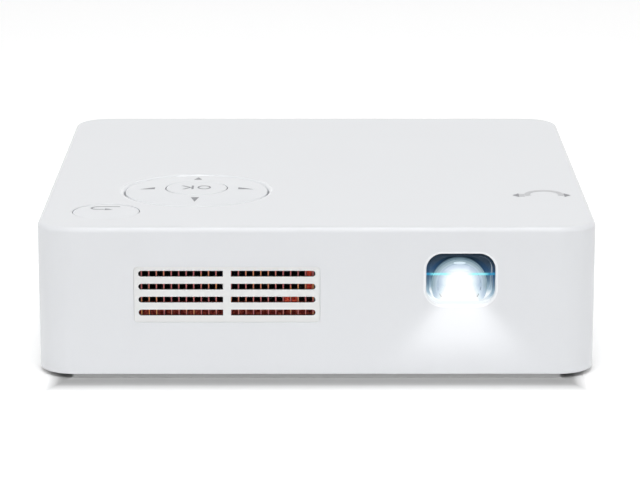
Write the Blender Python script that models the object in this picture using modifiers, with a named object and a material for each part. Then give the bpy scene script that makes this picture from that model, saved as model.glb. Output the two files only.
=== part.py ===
"""A pocket LED projector, modelled as the pieces that it comes apart into.

Metres. The lens faces -Y, +Z is up, and the feet stand on Z = 0 under the middle of the case.
"""
import math

import bmesh
import bpy
from mathutils import Matrix, Vector

MM = 0.001
DEGREE = math.pi / 180
QUARTER_TURN = math.pi / 2

# Overall size and the shell
CASE_WIDTH = 150.0 * MM
CASE_DEPTH = 150.0 * MM
OVERALL_HEIGHT = 41.5 * MM
FOOT_STAND = 1.0 * MM
CASE_WALL = 1.8 * MM
CASE_TOP_WALL = 2.0 * MM
CASE_CORNER = 10.0 * MM
CASE_FILLET = 1.4 * MM
CASE_RIM_CHAMFER = 0.4 * MM
BOTTOM_WALL = 2.0 * MM

# Clearances shared by all pieces
SEAT_GAP = 0.3 * MM
RUNNING_GAP = 0.3 * MM
OVERLAP = 0.2 * MM
OVERRUN = 1.0 * MM
MERGE_DISTANCE = 0.001 * MM

# Case screws, their bosses and the feet
BOSS_INSET = 9.0 * MM
BOSS_RADIUS = 3.3 * MM
BOSS_SEAT_HEIGHT = 1.5 * MM
SCREW_RADIUS = 1.3 * MM
SCREW_HEAD_RADIUS = 2.4 * MM
SCREW_HEAD_HEIGHT = 1.3 * MM
SCREW_LENGTH = 9.0 * MM
SCREW_SINK = 0.1 * MM
CROSS_WIDTH = 0.6 * MM
CROSS_LENGTH = 2.6 * MM
CROSS_DEPTH = 0.7 * MM
FOOT_INSET = 19.0 * MM
FOOT_RADIUS = 6.0 * MM
FOOT_THICKNESS = 1.7 * MM
FOOT_BEVEL = 0.35 * MM

# Tripod insert
INSERT_RADIUS = 5.0 * MM
INSERT_BORE_RADIUS = 2.6 * MM
INSERT_LENGTH = 7.0 * MM
INSERT_DEPTH = 6.0 * MM
INSERT_GROOVE_DEPTH = 0.6 * MM
INSERT_GROOVE_WIDTH = 1.4 * MM
INSERT_BOSS_WALL = 2.2 * MM
INSERT_BOSS_CAP = 1.2 * MM

# Vent grille in the front wall
VENT_X = -23.95 * MM
VENT_DROP = 18.4 * MM
VENT_WIDTH = 49.7 * MM
VENT_HEIGHT = 15.2 * MM
VENT_CORNER = 0.6 * MM
VENT_RECESS = 0.35 * MM
VENT_FLANGE_LAP = 1.8 * MM
VENT_FLANGE_THICKNESS = 0.8 * MM
VENT_ROWS = 4
VENT_ROW_PITCH = 3.57 * MM
VENT_ROWS_RISE = 0.4 * MM
VENT_SLOT_HEIGHT = 1.6 * MM
VENT_SLOT_LENGTH = 22.6 * MM
VENT_POST = 2.1 * MM

# Lens window and bezel
WINDOW_INSET = 36.3 * MM
WINDOW_DROP = 14.2 * MM
WINDOW_WIDTH = 18.2 * MM
WINDOW_HEIGHT = 13.3 * MM
WINDOW_CORNER = 4.0 * MM
WINDOW_CHAMFER = 0.6 * MM
BEZEL_RECESS = 0.7 * MM
BEZEL_LIP = 0.5 * MM
BEZEL_WALL = 1.0 * MM
BEZEL_FLANGE_WIDTH = 23.4 * MM
BEZEL_FLANGE_HEIGHT = 21.0 * MM
BEZEL_FLANGE_THICKNESS = 1.2 * MM
BEZEL_LIP_LENGTH = 1.8 * MM
BEZEL_FUNNEL_DEPTH = 4.2 * MM
BEZEL_DEPTH = 8.5 * MM
BEZEL_FUNNEL_WIDTH = 17.6 * MM
BEZEL_FUNNEL_HEIGHT = 16.4 * MM
BEZEL_FUNNEL_CORNER = 7.5 * MM

# Lens barrel and its two lenses
LENS_SHIFT = 0.3 * MM
LENS_SINK = 3.1 * MM
BARREL_RADIUS = 7.4 * MM
BARREL_WALL = 0.8 * MM
BARREL_LIP = 0.7 * MM
BARREL_DEPTH_IN_CASE = 6.0 * MM
BARREL_LENGTH = 17.0 * MM
FRONT_LENS_BULGE = 1.2 * MM
FRONT_LENS_EDGE = 1.8 * MM
REAR_LENS_BULGE = 0.8 * MM
REAR_LENS_EDGE = 1.6 * MM
LENS_CURVE_STEPS = 2
SLEEVE_WALL = 1.5 * MM

# Focus wheel, pinion and rack
FOCUS_SETBACK = 36.0 * MM
FOCUS_WHEEL_RADIUS = 12.7 * MM
FOCUS_WHEEL_PROUD = 0.7 * MM
FOCUS_WHEEL_RISE = 4.3 * MM
FOCUS_WHEEL_THICKNESS = 3.5 * MM
FOCUS_KNURL_DEPTH = 0.35 * MM
FOCUS_KNURLS = 26
KNURL_SHARES = ((0.0, 0), (0.45, 0), (0.72, 1))
FOCUS_HUB_RADIUS = 2.4 * MM
FOCUS_SLOT_MARGIN = 0.6 * MM
FOCUS_SLOT_END_MARGIN = 0.9 * MM
FOCUS_DISH_DEPTH = 0.8 * MM
FOCUS_DISH_RIM = 3.0 * MM
FOCUS_DISH_HUB = 1.3 * MM
AXLE_RADIUS = 1.25 * MM
AXLE_HEAD_RADIUS = 2.4 * MM
AXLE_HEAD_HEIGHT = 0.8 * MM
GEAR_MODULE = 0.6 * MM
GEAR_TEETH = 12
GEAR_BACKLASH = 0.24 * MM
GEAR_PRESSURE_ANGLE = 20.0 * DEGREE
PINION_ADDENDUM_SHARE = 0.8
PINION_DEDENDUM_SHARE = 1.2
RACK_ADDENDUM_SHARE = 0.7
RACK_DEDENDUM_SHARE = 1.3
RACK_TEETH = 6
RACK_BACK = 2.0 * MM
PINION_SINK = 2.7 * MM
PINION_HEIGHT = 5.6 * MM
ARM_HEIGHT = 3.2 * MM
ARM_WIDTH = 3.0 * MM
ARM_SETBACK = 9.0 * MM
FOCUS_TRAVEL_ANGLE = 24.0 * DEGREE
BRACKET_SINK = 3.7 * MM
BRACKET_THICKNESS = 3.0 * MM
BRACKET_DEPTH = 9.0 * MM
BRACKET_WEB = 2.4 * MM
BRACKET_WEB_HEIGHT = 6.0 * MM

# Optical engine
ENGINE_LEFT_REACH = 18.4 * MM
ENGINE_RIGHT_REACH = 10.1 * MM
ENGINE_SETBACK = 29.0 * MM
ENGINE_LENGTH = 42.0 * MM
ENGINE_REACH_BELOW = 11.2 * MM
ENGINE_HEADROOM = 3.5 * MM
ENGINE_BEVEL = 1.0 * MM
ENGINE_BORE_DEPTH = 5.0 * MM
ENGINE_RIB_WIDTH = 1.6 * MM
ENGINE_RIB_HEIGHT = 1.2 * MM
ENGINE_RIBS = 4
LED_BOARD_SIDE = 10.0 * MM
LED_BOARD_THICKNESS = 1.6 * MM
LED_DOME_RADIUS = 2.4 * MM
LED_DOME_STEPS = 4
LED_PORT_DEPTH = 3.6 * MM
LED_PITCH = 12.6 * MM
SPREADER_THICKNESS = 2.2 * MM
SPREADER_MARGIN = 3.0 * MM
CHIP_BOARD_THICKNESS = 1.2 * MM
CHIP_SINK_SIDE = 20.0 * MM
CHIP_SINK_DEPTH = 10.0 * MM
CHIP_SINK_FINS = 7
CHIP_SINK_FIN = 1.0 * MM
CHIP_SINK_BASE = 2.0 * MM

# Fin heatsink behind the vent, and its heat pipe
FIN_PITCH = 2.0 * MM
FIN_OVERHANG = 0.15 * MM
FIN_PIPE_REACH = 1.4 * MM
FIN_THICKNESS = 0.5 * MM
FIN_DEPTH = 20.0 * MM
FIN_LOW = 10.5 * MM
FIN_HEADROOM = 0.8 * MM
FIN_BASE = 2.0 * MM
FIN_FRONT_GAP = 0.6 * MM
PIPE_RADIUS = 3.0 * MM
PIPE_Z = 16.0 * MM
PIPE_SETBACK = 5.5 * MM
PIPE_BEND = 12.0 * MM
PIPE_BEND_STEPS = 6
FIN_REST_SHARES = {"front": 0.2, "back": 0.8}

# Fan at the left wall and the slots beside it
FAN_HEADROOM = 1.2 * MM
FAN_KEYPAD_GAP = 8.5 * MM
FAN_DEPTH = 10.0 * MM
FAN_CORNER = 2.5 * MM
FAN_RIM = 1.2 * MM
FAN_TIP_GAP = 0.7 * MM
FAN_HUB_RADIUS = 8.0 * MM
FAN_PLATE = 1.4 * MM
FAN_STRUT_WIDTH = 2.0 * MM
FAN_STRUTS = 4
FAN_BLADES = 7
FAN_BLADE_CHORD = 8.6 * MM
FAN_BLADE_CAMBER = 1.1 * MM
FAN_BLADE_THICKNESS = 0.7 * MM
FAN_BLADE_PITCH = 42.0 * DEGREE
FAN_BLADE_STEPS = 3
FAN_BLADE_ROOT_SHARE = 0.8
FAN_ROTOR_LENGTH = 7.4 * MM
FAN_HUB_BEVEL = 0.8 * MM
FAN_SHAFT_RADIUS = 1.0 * MM
FAN_SCREW_HOLE_RADIUS = 1.4 * MM
FAN_SCREW_HOLE_INSET = 3.2 * MM
FAN_STOP_HEIGHT = 4.0 * MM
SIDE_VENT_ROWS = 7
SIDE_VENT_SLOT_LENGTH = 15.0 * MM

# Key ring, buttons and the keypad under them
PAD_INSET = 41.3 * MM
PAD_SETBACK = 46.0 * MM
PAD_HOLE_RADIUS = 20.15 * MM
PAD_RECESS = 0.85 * MM
PAD_THICKNESS = 2.4 * MM
PAD_DISH = 0.25 * MM
PAD_FLANGE_LAP = 1.2 * MM
PAD_FLANGE_SPARE = 0.17 * MM
PAD_FLANGE_THICKNESS = 1.0 * MM
PAD_TILT = 1.2 * DEGREE
OK_RADIUS = 8.55 * MM
OK_CAP = 2.0 * MM
OK_RISE = 0.1 * MM
BUTTON_TRAVEL = 0.35 * MM
TRAVEL_SPARE = 0.07 * MM
BACK_INSET = 17.7 * MM
BACK_SETBACK = 19.5 * MM
BACK_HOLE_RADIUS = 9.15 * MM
BACK_SINK = 0.1 * MM
BACK_CAP = 3.2 * MM
BACK_STEM_RADIUS = 2.0 * MM
KEY_EDGE = 0.3 * MM
DIRECTIONS = {"right": (1, 0), "up": (0, 1), "left": (-1, 0), "down": (0, -1)}
SWITCH_SPREAD = 13.5 * MM
SWITCH_SIDE = 4.5 * MM
SWITCH_BODY = 1.4 * MM
SWITCH_HEIGHT = 2.0 * MM
SWITCH_PLUNGER_RADIUS = 1.1 * MM
NIB_RADIUS = 1.2 * MM
KEY_BOARD_DROP = 9.9 * MM
KEY_BOARD_THICKNESS = 1.0 * MM
KEY_BOARD_INSET = 8.5 * MM
KEY_BOARD_WIDTH = 54.5 * MM
KEY_BOARD_SETBACK = 14.0 * MM
KEY_BOARD_LENGTH = 53.0 * MM
KEY_BOARD_CORNER = 2.0 * MM
KEY_BOSS_RADIUS = 2.1 * MM
KEY_BOSS_GAP = 0.6 * MM
KEY_BOSS_TURNS = (45.0 * DEGREE, 135.0 * DEGREE, 198.0 * DEGREE, 315.0 * DEGREE)
GIMBAL_DROP = 5.5 * MM
GIMBAL_INNER = 7.3 * MM
GIMBAL_OUTER = 8.5 * MM
GIMBAL_HEIGHT = 1.8 * MM
GIMBAL_PIN_RADIUS = 0.4 * MM
GIMBAL_GAP = 0.5 * MM
SKIRT_THICKNESS = 1.5 * MM
SKIRT_DROP = 6.4 * MM
COLLAR_INNER = 5.2 * MM
COLLAR_DROP = 4.2 * MM
COLLAR_FLANGE = 0.8 * MM
COLLAR_FLANGE_RADIUS = 8.6 * MM

# Main board and what stands at the rear wall
BOARD_TOP = 16.2 * MM
BOARD_THICKNESS = 1.2 * MM
BOARD_SIDE_INSET = 17.0 * MM
BOARD_FRONT_GAP = 4.2 * MM
BOARD_BACK_GAP = 0.7 * MM
BOARD_CORNER = 2.0 * MM
BOARD_SCREW_INSET = 4.0 * MM
BOARD_SCREW_BACK_INSET = 16.0 * MM
BOARD_SCREW_LENGTH = 5.0 * MM
BOARD_POST_RADIUS = 3.0 * MM
PORT_RECESS = 0.8 * MM
PORT_GAP = 0.3 * MM
# Places across the rear wall, as shares of half the case's width
REAR_SHARES = {"ir": -0.667, "audio": -0.427, "usb": -0.16, "hdmi": 0.133, "dc": 0.427, "power": 0.65}
HDMI_WIDTH = 15.0 * MM
HDMI_HEIGHT = 5.6 * MM
HDMI_LENGTH = 12.0 * MM
HDMI_SLOPE = 1.6 * MM
SHELL_WALL = 0.4 * MM
USB_WIDTH = 13.2 * MM
USB_HEIGHT = 5.8 * MM
USB_LENGTH = 14.0 * MM
USB_TONGUE = 1.8 * MM
HDMI_TONGUE = 0.8 * MM
TONGUE_MARGIN = 2.2 * MM
SOCKET_FLOOR = 2.0 * MM
DC_WIDTH = 9.0 * MM
DC_HEIGHT = 10.0 * MM
DC_LENGTH = 13.0 * MM
DC_BORE_RADIUS = 3.1 * MM
DC_COLLAR_RADIUS = 4.0 * MM
DC_PIN_RADIUS = 0.8 * MM
AUDIO_WIDTH = 7.0 * MM
AUDIO_HEIGHT = 6.0 * MM
AUDIO_LENGTH = 11.0 * MM
AUDIO_BORE_RADIUS = 1.8 * MM
AUDIO_COLLAR_RADIUS = 2.8 * MM
SOCKET_BODY_BACK = 1.2 * MM
POWER_Z = 19.5 * MM
POWER_TRAVEL = 3.0 * MM
POWER_KNOB_WIDTH = 5.5 * MM
POWER_KNOB_HEIGHT = 2.6 * MM
POWER_KNOB_SINK = 0.2 * MM
POWER_FLANGE_MARGIN = 3.8 * MM
POWER_FLANGE_RISE = 1.3 * MM
POWER_FLANGE_THICKNESS = 1.2 * MM
POWER_BODY_WIDTH = 14.0 * MM
POWER_BODY_HEIGHT = 6.0 * MM
POWER_BODY_LENGTH = 8.0 * MM
POWER_STALK_WIDTH = 2.0 * MM
POWER_STALK_LENGTH = 1.5 * MM
POWER_RIB_DEPTH = 0.3 * MM
POWER_RIBS = 4
IR_WIDTH = 10.0 * MM
IR_HEIGHT = 4.6 * MM
IR_Z = 20.5 * MM
IR_SINK = 0.15 * MM
IR_FLANGE_LAP = 1.0 * MM
IR_FLANGE_THICKNESS = 0.8 * MM

# Battery, speaker and ribbon
BATTERY_WIDTH = 70.0 * MM
BATTERY_BOSS_GAP = 7.5 * MM
BATTERY_BACK_INSET = 13.5 * MM
BATTERY_HEIGHT = 10.0 * MM
BATTERY_BEVEL = 1.6 * MM
SPEAKER_INSET = 39.0 * MM
SPEAKER_RADIUS = 14.0 * MM
SPEAKER_RIM = 1.6 * MM
SPEAKER_DEPTH = 6.4 * MM
SPEAKER_PLATE = 1.4 * MM
SPEAKER_MAGNET_RADIUS = 7.0 * MM
SPEAKER_DISH = 1.6 * MM
SPEAKER_CAP_RADIUS = 3.4 * MM
# Radius and depth of the dust cap and of the cone's edge, as shares of their full values
SPEAKER_CAP_SHARES = ((0.0, 0.4), (0.7, 0.55), (1.0, 1.0))
SPEAKER_EDGE_SHARE = 0.25
SPEAKER_HOLE_RADIUS = 1.0 * MM
SPEAKER_HOLE_PITCH = 4.2 * MM
SPEAKER_HOLE_RINGS = 2
REST_THICKNESS = 2.0 * MM
REST_INSET = 4.0 * MM
CRADLE_THICKNESS = 4.0 * MM
CRADLE_HALF_WIDTH = 6.0 * MM
RIBBON_INSET = 26.5 * MM
RIBBON_WIDTH = 10.0 * MM
RIBBON_THICKNESS = 0.4 * MM
RIBBON_LAP = 7.0 * MM
RIBBON_REACH = 6.0 * MM
RIBBON_STEPS = 20

# Steps round a full turn or a corner
HOLE_STEPS = 8
BOSS_STEPS = 10
ROUND_STEPS = 12
MIDDLE_STEPS = 18
FINE_STEPS = 28
SMALL_CORNER_STEPS = 2
CORNER_STEPS = 3
CASE_CORNER_STEPS = 5
FILLET_STEPS = 2
FLANK_STEPS = 2
SHARP_ANGLE = 30.0 * DEGREE
RIM_ANGLE = 45.0 * DEGREE

# Levels and places worked out from the sizes above: the case
CASE_TOP = OVERALL_HEIGHT
CASE_BASE = FOOT_STAND
CEILING = CASE_TOP - CASE_TOP_WALL
FLOOR = CASE_BASE + BOTTOM_WALL
FRONT = -CASE_DEPTH / 2
BACK = CASE_DEPTH / 2
RIGHT = CASE_WIDTH / 2
LEFT = -CASE_WIDTH / 2
INNER_FRONT = FRONT + CASE_WALL
INNER_BACK = BACK - CASE_WALL
INNER_RIGHT = RIGHT - CASE_WALL
INNER_LEFT = LEFT + CASE_WALL
VENT_Z = CASE_TOP - VENT_DROP
VENT_ROWS_Z = VENT_Z + VENT_ROWS_RISE
WINDOW_X = RIGHT - WINDOW_INSET
WINDOW_Z = CASE_TOP - WINDOW_DROP

# The keys and their board
PAD_X = LEFT + PAD_INSET
PAD_Y = FRONT + PAD_SETBACK
PAD_TOP = CASE_TOP - PAD_RECESS
PAD_FLANGE_RADIUS = PAD_HOLE_RADIUS + PAD_FLANGE_LAP
PAD_FLANGE_TOP = CEILING - PAD_FLANGE_SPARE - math.sqrt(2) * PAD_FLANGE_RADIUS * math.sin(PAD_TILT)
BACK_X = LEFT + BACK_INSET
BACK_Y = FRONT + BACK_SETBACK
GIMBAL_Z = CASE_TOP - GIMBAL_DROP
SKIRT_LOW = CASE_TOP - SKIRT_DROP
COLLAR_TOP = CASE_TOP - COLLAR_DROP
KEY_BOARD_LOW = CASE_TOP - KEY_BOARD_DROP
KEY_BOARD_TOP = KEY_BOARD_LOW + KEY_BOARD_THICKNESS
KEY_BOARD_LEFT = LEFT + KEY_BOARD_INSET
KEY_BOARD_RIGHT = KEY_BOARD_LEFT + KEY_BOARD_WIDTH
KEY_BOARD_FRONT = FRONT + KEY_BOARD_SETBACK
KEY_BOARD_BACK = KEY_BOARD_FRONT + KEY_BOARD_LENGTH
SWITCH_LOW = KEY_BOARD_TOP + SEAT_GAP
SWITCH_TOP = SWITCH_LOW + SWITCH_HEIGHT
KEY_STEM_LOW = SWITCH_TOP + BUTTON_TRAVEL + TRAVEL_SPARE

# The lens, the engine and the focus drive
LENS_X = WINDOW_X - LENS_SHIFT
LENS_Z = WINDOW_Z - LENS_SINK
BARREL_FRONT = FRONT + BARREL_DEPTH_IN_CASE
BARREL_BACK = BARREL_FRONT + BARREL_LENGTH
ENGINE_LEFT = LENS_X - ENGINE_LEFT_REACH
ENGINE_RIGHT = LENS_X + ENGINE_RIGHT_REACH
ENGINE_FRONT = FRONT + ENGINE_SETBACK
ENGINE_BACK = ENGINE_FRONT + ENGINE_LENGTH
ENGINE_LOW = LENS_Z - ENGINE_REACH_BELOW
ENGINE_TOP = CEILING - ENGINE_HEADROOM
LED_RIGHT = ENGINE_LEFT - SEAT_GAP
LED_LEFT = LED_RIGHT - LED_BOARD_THICKNESS
LED_Z = (ENGINE_LOW + ENGINE_TOP) / 2
SPREADER_RIGHT = LED_LEFT - SEAT_GAP
SPREADER_LEFT = SPREADER_RIGHT - SPREADER_THICKNESS
CHIP_SINK_FRONT = ENGINE_BACK + CHIP_BOARD_THICKNESS + 2 * SEAT_GAP
CHIP_SINK_BACK = CHIP_SINK_FRONT + CHIP_SINK_DEPTH
PITCH_RADIUS = GEAR_MODULE * GEAR_TEETH / 2
GEAR_PITCH = GEAR_MODULE * math.pi
FOCUS_X = RIGHT + FOCUS_WHEEL_PROUD - FOCUS_WHEEL_RADIUS
FOCUS_Y = FRONT + FOCUS_SETBACK
FOCUS_WHEEL_LOW = LENS_Z + FOCUS_WHEEL_RISE
FOCUS_WHEEL_TOP = FOCUS_WHEEL_LOW + FOCUS_WHEEL_THICKNESS
FOCUS_SLOT_HALF = math.sqrt(FOCUS_WHEEL_RADIUS**2 - (INNER_RIGHT - FOCUS_X) ** 2) + FOCUS_SLOT_END_MARGIN
PINION_LOW = LENS_Z - PINION_SINK
BRACKET_TOP = LENS_Z - BRACKET_SINK

# The heat pipe and as many fins as reach from the vent's left end to its bend
PIPE_X = SPREADER_LEFT - SEAT_GAP - PIPE_RADIUS
FIN_FRONT = INNER_FRONT + SEAT_GAP + VENT_FLANGE_THICKNESS + FIN_FRONT_GAP
FIN_TOP = KEY_BOARD_LOW - FIN_HEADROOM
FIRST_FIN_X = VENT_X - VENT_WIDTH / 2 - FIN_OVERHANG
FIN_COUNT = int((PIPE_X - PIPE_BEND + FIN_PIPE_REACH - FIRST_FIN_X) / FIN_PITCH) + 1
LAST_FIN_X = FIRST_FIN_X + (FIN_COUNT - 1) * FIN_PITCH
PIPE_Y = FIN_FRONT + PIPE_SETBACK

# The fan, the speaker, the main board and the sockets
FAN_SIDE = CEILING - FLOOR - SEAT_GAP - FAN_HEADROOM
FAN_BORE_RADIUS = FAN_SIDE / 2 - FAN_RIM
FAN_X = INNER_LEFT + SEAT_GAP + FAN_DEPTH / 2
FAN_Y = KEY_BOARD_BACK + FAN_KEYPAD_GAP + FAN_SIDE / 2
FAN_Z = FLOOR + SEAT_GAP + FAN_SIDE / 2
SPEAKER_Y = BACK - SPEAKER_INSET
SPEAKER_Z = (FLOOR + CEILING) / 2
INSERT_BOSS_RADIUS = INSERT_RADIUS + SEAT_GAP + INSERT_BOSS_WALL
BATTERY_FRONT = INSERT_BOSS_RADIUS + BATTERY_BOSS_GAP
BOARD_LOW = BOARD_TOP - BOARD_THICKNESS
BOARD_HALF_WIDTH = CASE_WIDTH / 2 - BOARD_SIDE_INSET
BOARD_FRONT = CHIP_SINK_BACK + BOARD_FRONT_GAP
BOARD_BACK = INNER_BACK - BOARD_BACK_GAP
BOARD_SCREW_HEAD = BOARD_TOP + SEAT_GAP + SCREW_HEAD_HEIGHT
RIBBON_X = KEY_BOARD_LEFT + RIBBON_INSET
RIBBON_SPAN = BOARD_FRONT - KEY_BOARD_BACK + RIBBON_REACH
PORT_FACE = BACK - PORT_RECESS
PORT_LOW = BOARD_TOP + SEAT_GAP
IR_X = REAR_SHARES["ir"] * CASE_WIDTH / 2
AUDIO_X = REAR_SHARES["audio"] * CASE_WIDTH / 2
USB_X = REAR_SHARES["usb"] * CASE_WIDTH / 2
HDMI_X = REAR_SHARES["hdmi"] * CASE_WIDTH / 2
DC_X = REAR_SHARES["dc"] * CASE_WIDTH / 2
POWER_X = REAR_SHARES["power"] * CASE_WIDTH / 2

IDENTITY = Matrix.Identity(4)
XZ_PLANE = Matrix(((1, 0, 0, 0), (0, 0, -1, 0), (0, 1, 0, 0), (0, 0, 0, 1)))
YZ_PLANE = Matrix(((0, 0, 1, 0), (1, 0, 0, 0), (0, 1, 0, 0), (0, 0, 0, 1)))

# Colour, roughness and metallic value of each material
MATERIALS = {
    "white_shell": ((0.80, 0.80, 0.82), 0.35, 0.0),
    "white_key": ((0.82, 0.82, 0.84), 0.40, 0.0),
    "black_plastic": ((0.02, 0.02, 0.025), 0.45, 0.0),
    "grey_plastic": ((0.16, 0.16, 0.17), 0.50, 0.0),
    "rubber": ((0.10, 0.10, 0.10), 0.85, 0.0),
    "steel": ((0.55, 0.55, 0.56), 0.30, 1.0),
    "brass": ((0.72, 0.52, 0.22), 0.35, 1.0),
    "copper": ((0.72, 0.30, 0.18), 0.35, 1.0),
    "aluminium": ((0.70, 0.71, 0.72), 0.38, 1.0),
    "glass": ((0.55, 0.75, 0.85), 0.05, 0.0),
    "circuit_board": ((0.02, 0.16, 0.07), 0.50, 0.0),
    "dark_window": ((0.05, 0.01, 0.02), 0.10, 0.0),
    "battery_wrap": ((0.08, 0.16, 0.42), 0.45, 0.0),
    "ribbon": ((0.75, 0.42, 0.10), 0.40, 0.0),
    "led_red": ((0.80, 0.06, 0.04), 0.25, 0.0),
    "led_green": ((0.08, 0.70, 0.12), 0.25, 0.0),
    "led_blue": ((0.06, 0.14, 0.80), 0.25, 0.0),
}


def clear_scene():
    """Remove everything that an earlier run left."""
    for old in list(bpy.data.objects):
        bpy.data.objects.remove(old)
    for old in list(bpy.data.collections):
        bpy.data.collections.remove(old)


def new_collection(name):
    """Add a collection to the scene."""
    made = bpy.data.collections.new(name)
    bpy.context.scene.collection.children.link(made)
    return made


clear_scene()
PARTS = new_collection("led_projector")
CUTTERS = new_collection("cutters")


def from_bmesh(name, shape):
    """Make an object in the parts collection from a bmesh."""
    bmesh.ops.recalc_face_normals(shape, faces=shape.faces)
    mesh = bpy.data.meshes.new(name)
    shape.to_mesh(mesh)
    shape.free()
    mesh.shade_smooth()
    mesh.set_sharp_from_angle(angle=SHARP_ANGLE)
    piece = bpy.data.objects.new(name, mesh)
    PARTS.objects.link(piece)
    return piece


def as_mesh(source):
    """Replace a curve or a modified object by the closed mesh that it evaluates to."""
    if source.name not in PARTS.objects:
        PARTS.objects.link(source)
    bpy.context.view_layer.update()
    depsgraph = bpy.context.evaluated_depsgraph_get()
    mesh = bpy.data.meshes.new_from_object(source.evaluated_get(depsgraph))
    mesh.transform(source.matrix_world)
    shape = bmesh.new()
    shape.from_mesh(mesh)
    bmesh.ops.remove_doubles(shape, verts=shape.verts, dist=MERGE_DISTANCE)
    name = source.name
    bpy.data.objects.remove(source)
    bpy.data.meshes.remove(mesh)
    return from_bmesh(name, shape)


def box(name, low, high, bevel=0.0):
    """A block between two corners, its edges rounded where bevel is given."""
    low = Vector(low)
    high = Vector(high)
    place = Matrix.Translation((low + high) / 2) @ Matrix.Diagonal((*(high - low), 1))
    shape = bmesh.new()
    bmesh.ops.create_cube(shape, size=1, matrix=place)
    if bevel:
        bmesh.ops.bevel(shape, geom=shape.edges[:], offset=bevel, segments=2, profile=0.5, affect="EDGES")
    return from_bmesh(name, shape)


def rod(name, start, end, radius, steps=ROUND_STEPS, end_radius=None):
    """A cylinder, or a cone where end_radius is given, between two points."""
    start = Vector(start)
    end = Vector(end)
    turn = (end - start).to_track_quat("Z", "Y").to_matrix().to_4x4()
    shape = bmesh.new()
    bmesh.ops.create_cone(
        shape,
        cap_ends=True,
        segments=steps,
        radius1=radius,
        radius2=radius if end_radius is None else end_radius,
        depth=(end - start).length,
        matrix=Matrix.Translation((start + end) / 2) @ turn,
    )
    return from_bmesh(name, shape)


def prism(name, outlines, low, high, plane=IDENTITY):
    """Flat outlines extruded along the plane's normal, from level low to level high."""
    curve = bpy.data.curves.new(name, "CURVE")
    curve.dimensions = "2D"
    curve.fill_mode = "BOTH"
    curve.extrude = (high - low) / 2
    for outline in outlines:
        spline = curve.splines.new("POLY")
        spline.points.add(len(outline) - 1)
        for point, (u, v) in zip(spline.points, outline):
            point.co = (u, v, 0, 1)
        spline.use_cyclic_u = True
    source = bpy.data.objects.new(name, curve)
    # In the XZ plane the extrusion runs along -Y, so its levels change sign.
    middle = (low + high) / 2
    if plane is XZ_PLANE:
        middle = -middle
    source.matrix_world = plane @ Matrix.Translation((0, 0, middle))
    return as_mesh(source)


def turned(name, profile, place=IDENTITY, steps=ROUND_STEPS, ring=False):
    """A profile of (radius, height) points turned about the Z axis of place."""
    mesh = bpy.data.meshes.new(name)
    links = [(i, i + 1) for i in range(len(profile) - 1)]
    if ring:
        links.append((len(profile) - 1, 0))
    mesh.from_pydata([(radius, 0, height) for radius, height in profile], links, [])
    source = bpy.data.objects.new(name, mesh)
    screw = source.modifiers.new("turn", "SCREW")
    screw.steps = steps
    screw.render_steps = steps
    screw.use_merge_vertices = True
    screw.merge_threshold = MERGE_DISTANCE
    source.matrix_world = place
    return as_mesh(source)


def tube_along(name, points, radius):
    """A round bar along a list of points, with filled ends."""
    curve = bpy.data.curves.new(name, "CURVE")
    curve.dimensions = "3D"
    curve.bevel_depth = radius
    curve.bevel_resolution = 2
    curve.use_fill_caps = True
    spline = curve.splines.new("POLY")
    spline.points.add(len(points) - 1)
    for point, place in zip(spline.points, points):
        point.co = (*place, 1)
    return as_mesh(bpy.data.objects.new(name, curve))


def as_tool(tool):
    """Move a shape to the cutters, out of the render."""
    PARTS.objects.unlink(tool)
    CUTTERS.objects.link(tool)
    tool.hide_render = True
    tool.display_type = "WIRE"


def combine(piece, tool, operation):
    """Add a Boolean modifier that works with the tool."""
    modifier = piece.modifiers.new(tool.name, "BOOLEAN")
    modifier.operation = operation
    modifier.solver = "EXACT"
    modifier.object = tool
    as_tool(tool)


def cut(piece, *tools):
    """Cut each tool's shape out of the piece."""
    for tool in tools:
        combine(piece, tool, "DIFFERENCE")


def join(piece, *tools):
    """Fuse each tool's shape to the piece."""
    for tool in tools:
        combine(piece, tool, "UNION")


def circle(centre, radius, steps=ROUND_STEPS):
    """Points round a circle, counter-clockwise."""
    turns = [2 * math.pi * step / steps for step in range(steps)]
    return [(centre[0] + radius * math.cos(a), centre[1] + radius * math.sin(a)) for a in turns]


def rounded_rectangle(centre, width, height, radius, steps=CORNER_STEPS):
    """Points round a rectangle with round corners, counter-clockwise."""
    points = []
    for quarter, (side, end) in enumerate(((1, 1), (-1, 1), (-1, -1), (1, -1))):
        middle = (centre[0] + side * (width / 2 - radius), centre[1] + end * (height / 2 - radius))
        for step in range(steps + 1):
            angle = (quarter + step / steps) * QUARTER_TURN
            points.append((middle[0] + radius * math.cos(angle), middle[1] + radius * math.sin(angle)))
    return points


def quarter_circle_points(centre, radius, steps=CORNER_STEPS):
    """Points round a circle that pair one to one with those of a rounded rectangle."""
    count = 4 * (steps + 1)
    turns = [2 * math.pi * (step + 0.5) / count for step in range(count)]
    return [(centre[0] + radius * math.cos(a), centre[1] + radius * math.sin(a)) for a in turns]


def rectangle(centre, width, height):
    """The four corners of a rectangle."""
    return [
        (centre[0] + side * width / 2, centre[1] + end * height / 2)
        for side, end in ((1, 1), (-1, 1), (-1, -1), (1, -1))
    ]


def vent_slot(inner_end, middle, length, height, side, steps=CORNER_STEPS):
    """A slot, square at inner_end and round at its other end, which lies on the given side."""
    radius = height / 2
    round_centre = inner_end + side * (length - radius)
    points = [(inner_end, middle + radius), (inner_end, middle - radius)]
    for step in range(steps + 1):
        angle = (step / steps - 0.5) * math.pi
        points.append((round_centre + side * radius * math.cos(angle), middle + radius * math.sin(angle)))
    return points


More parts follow.
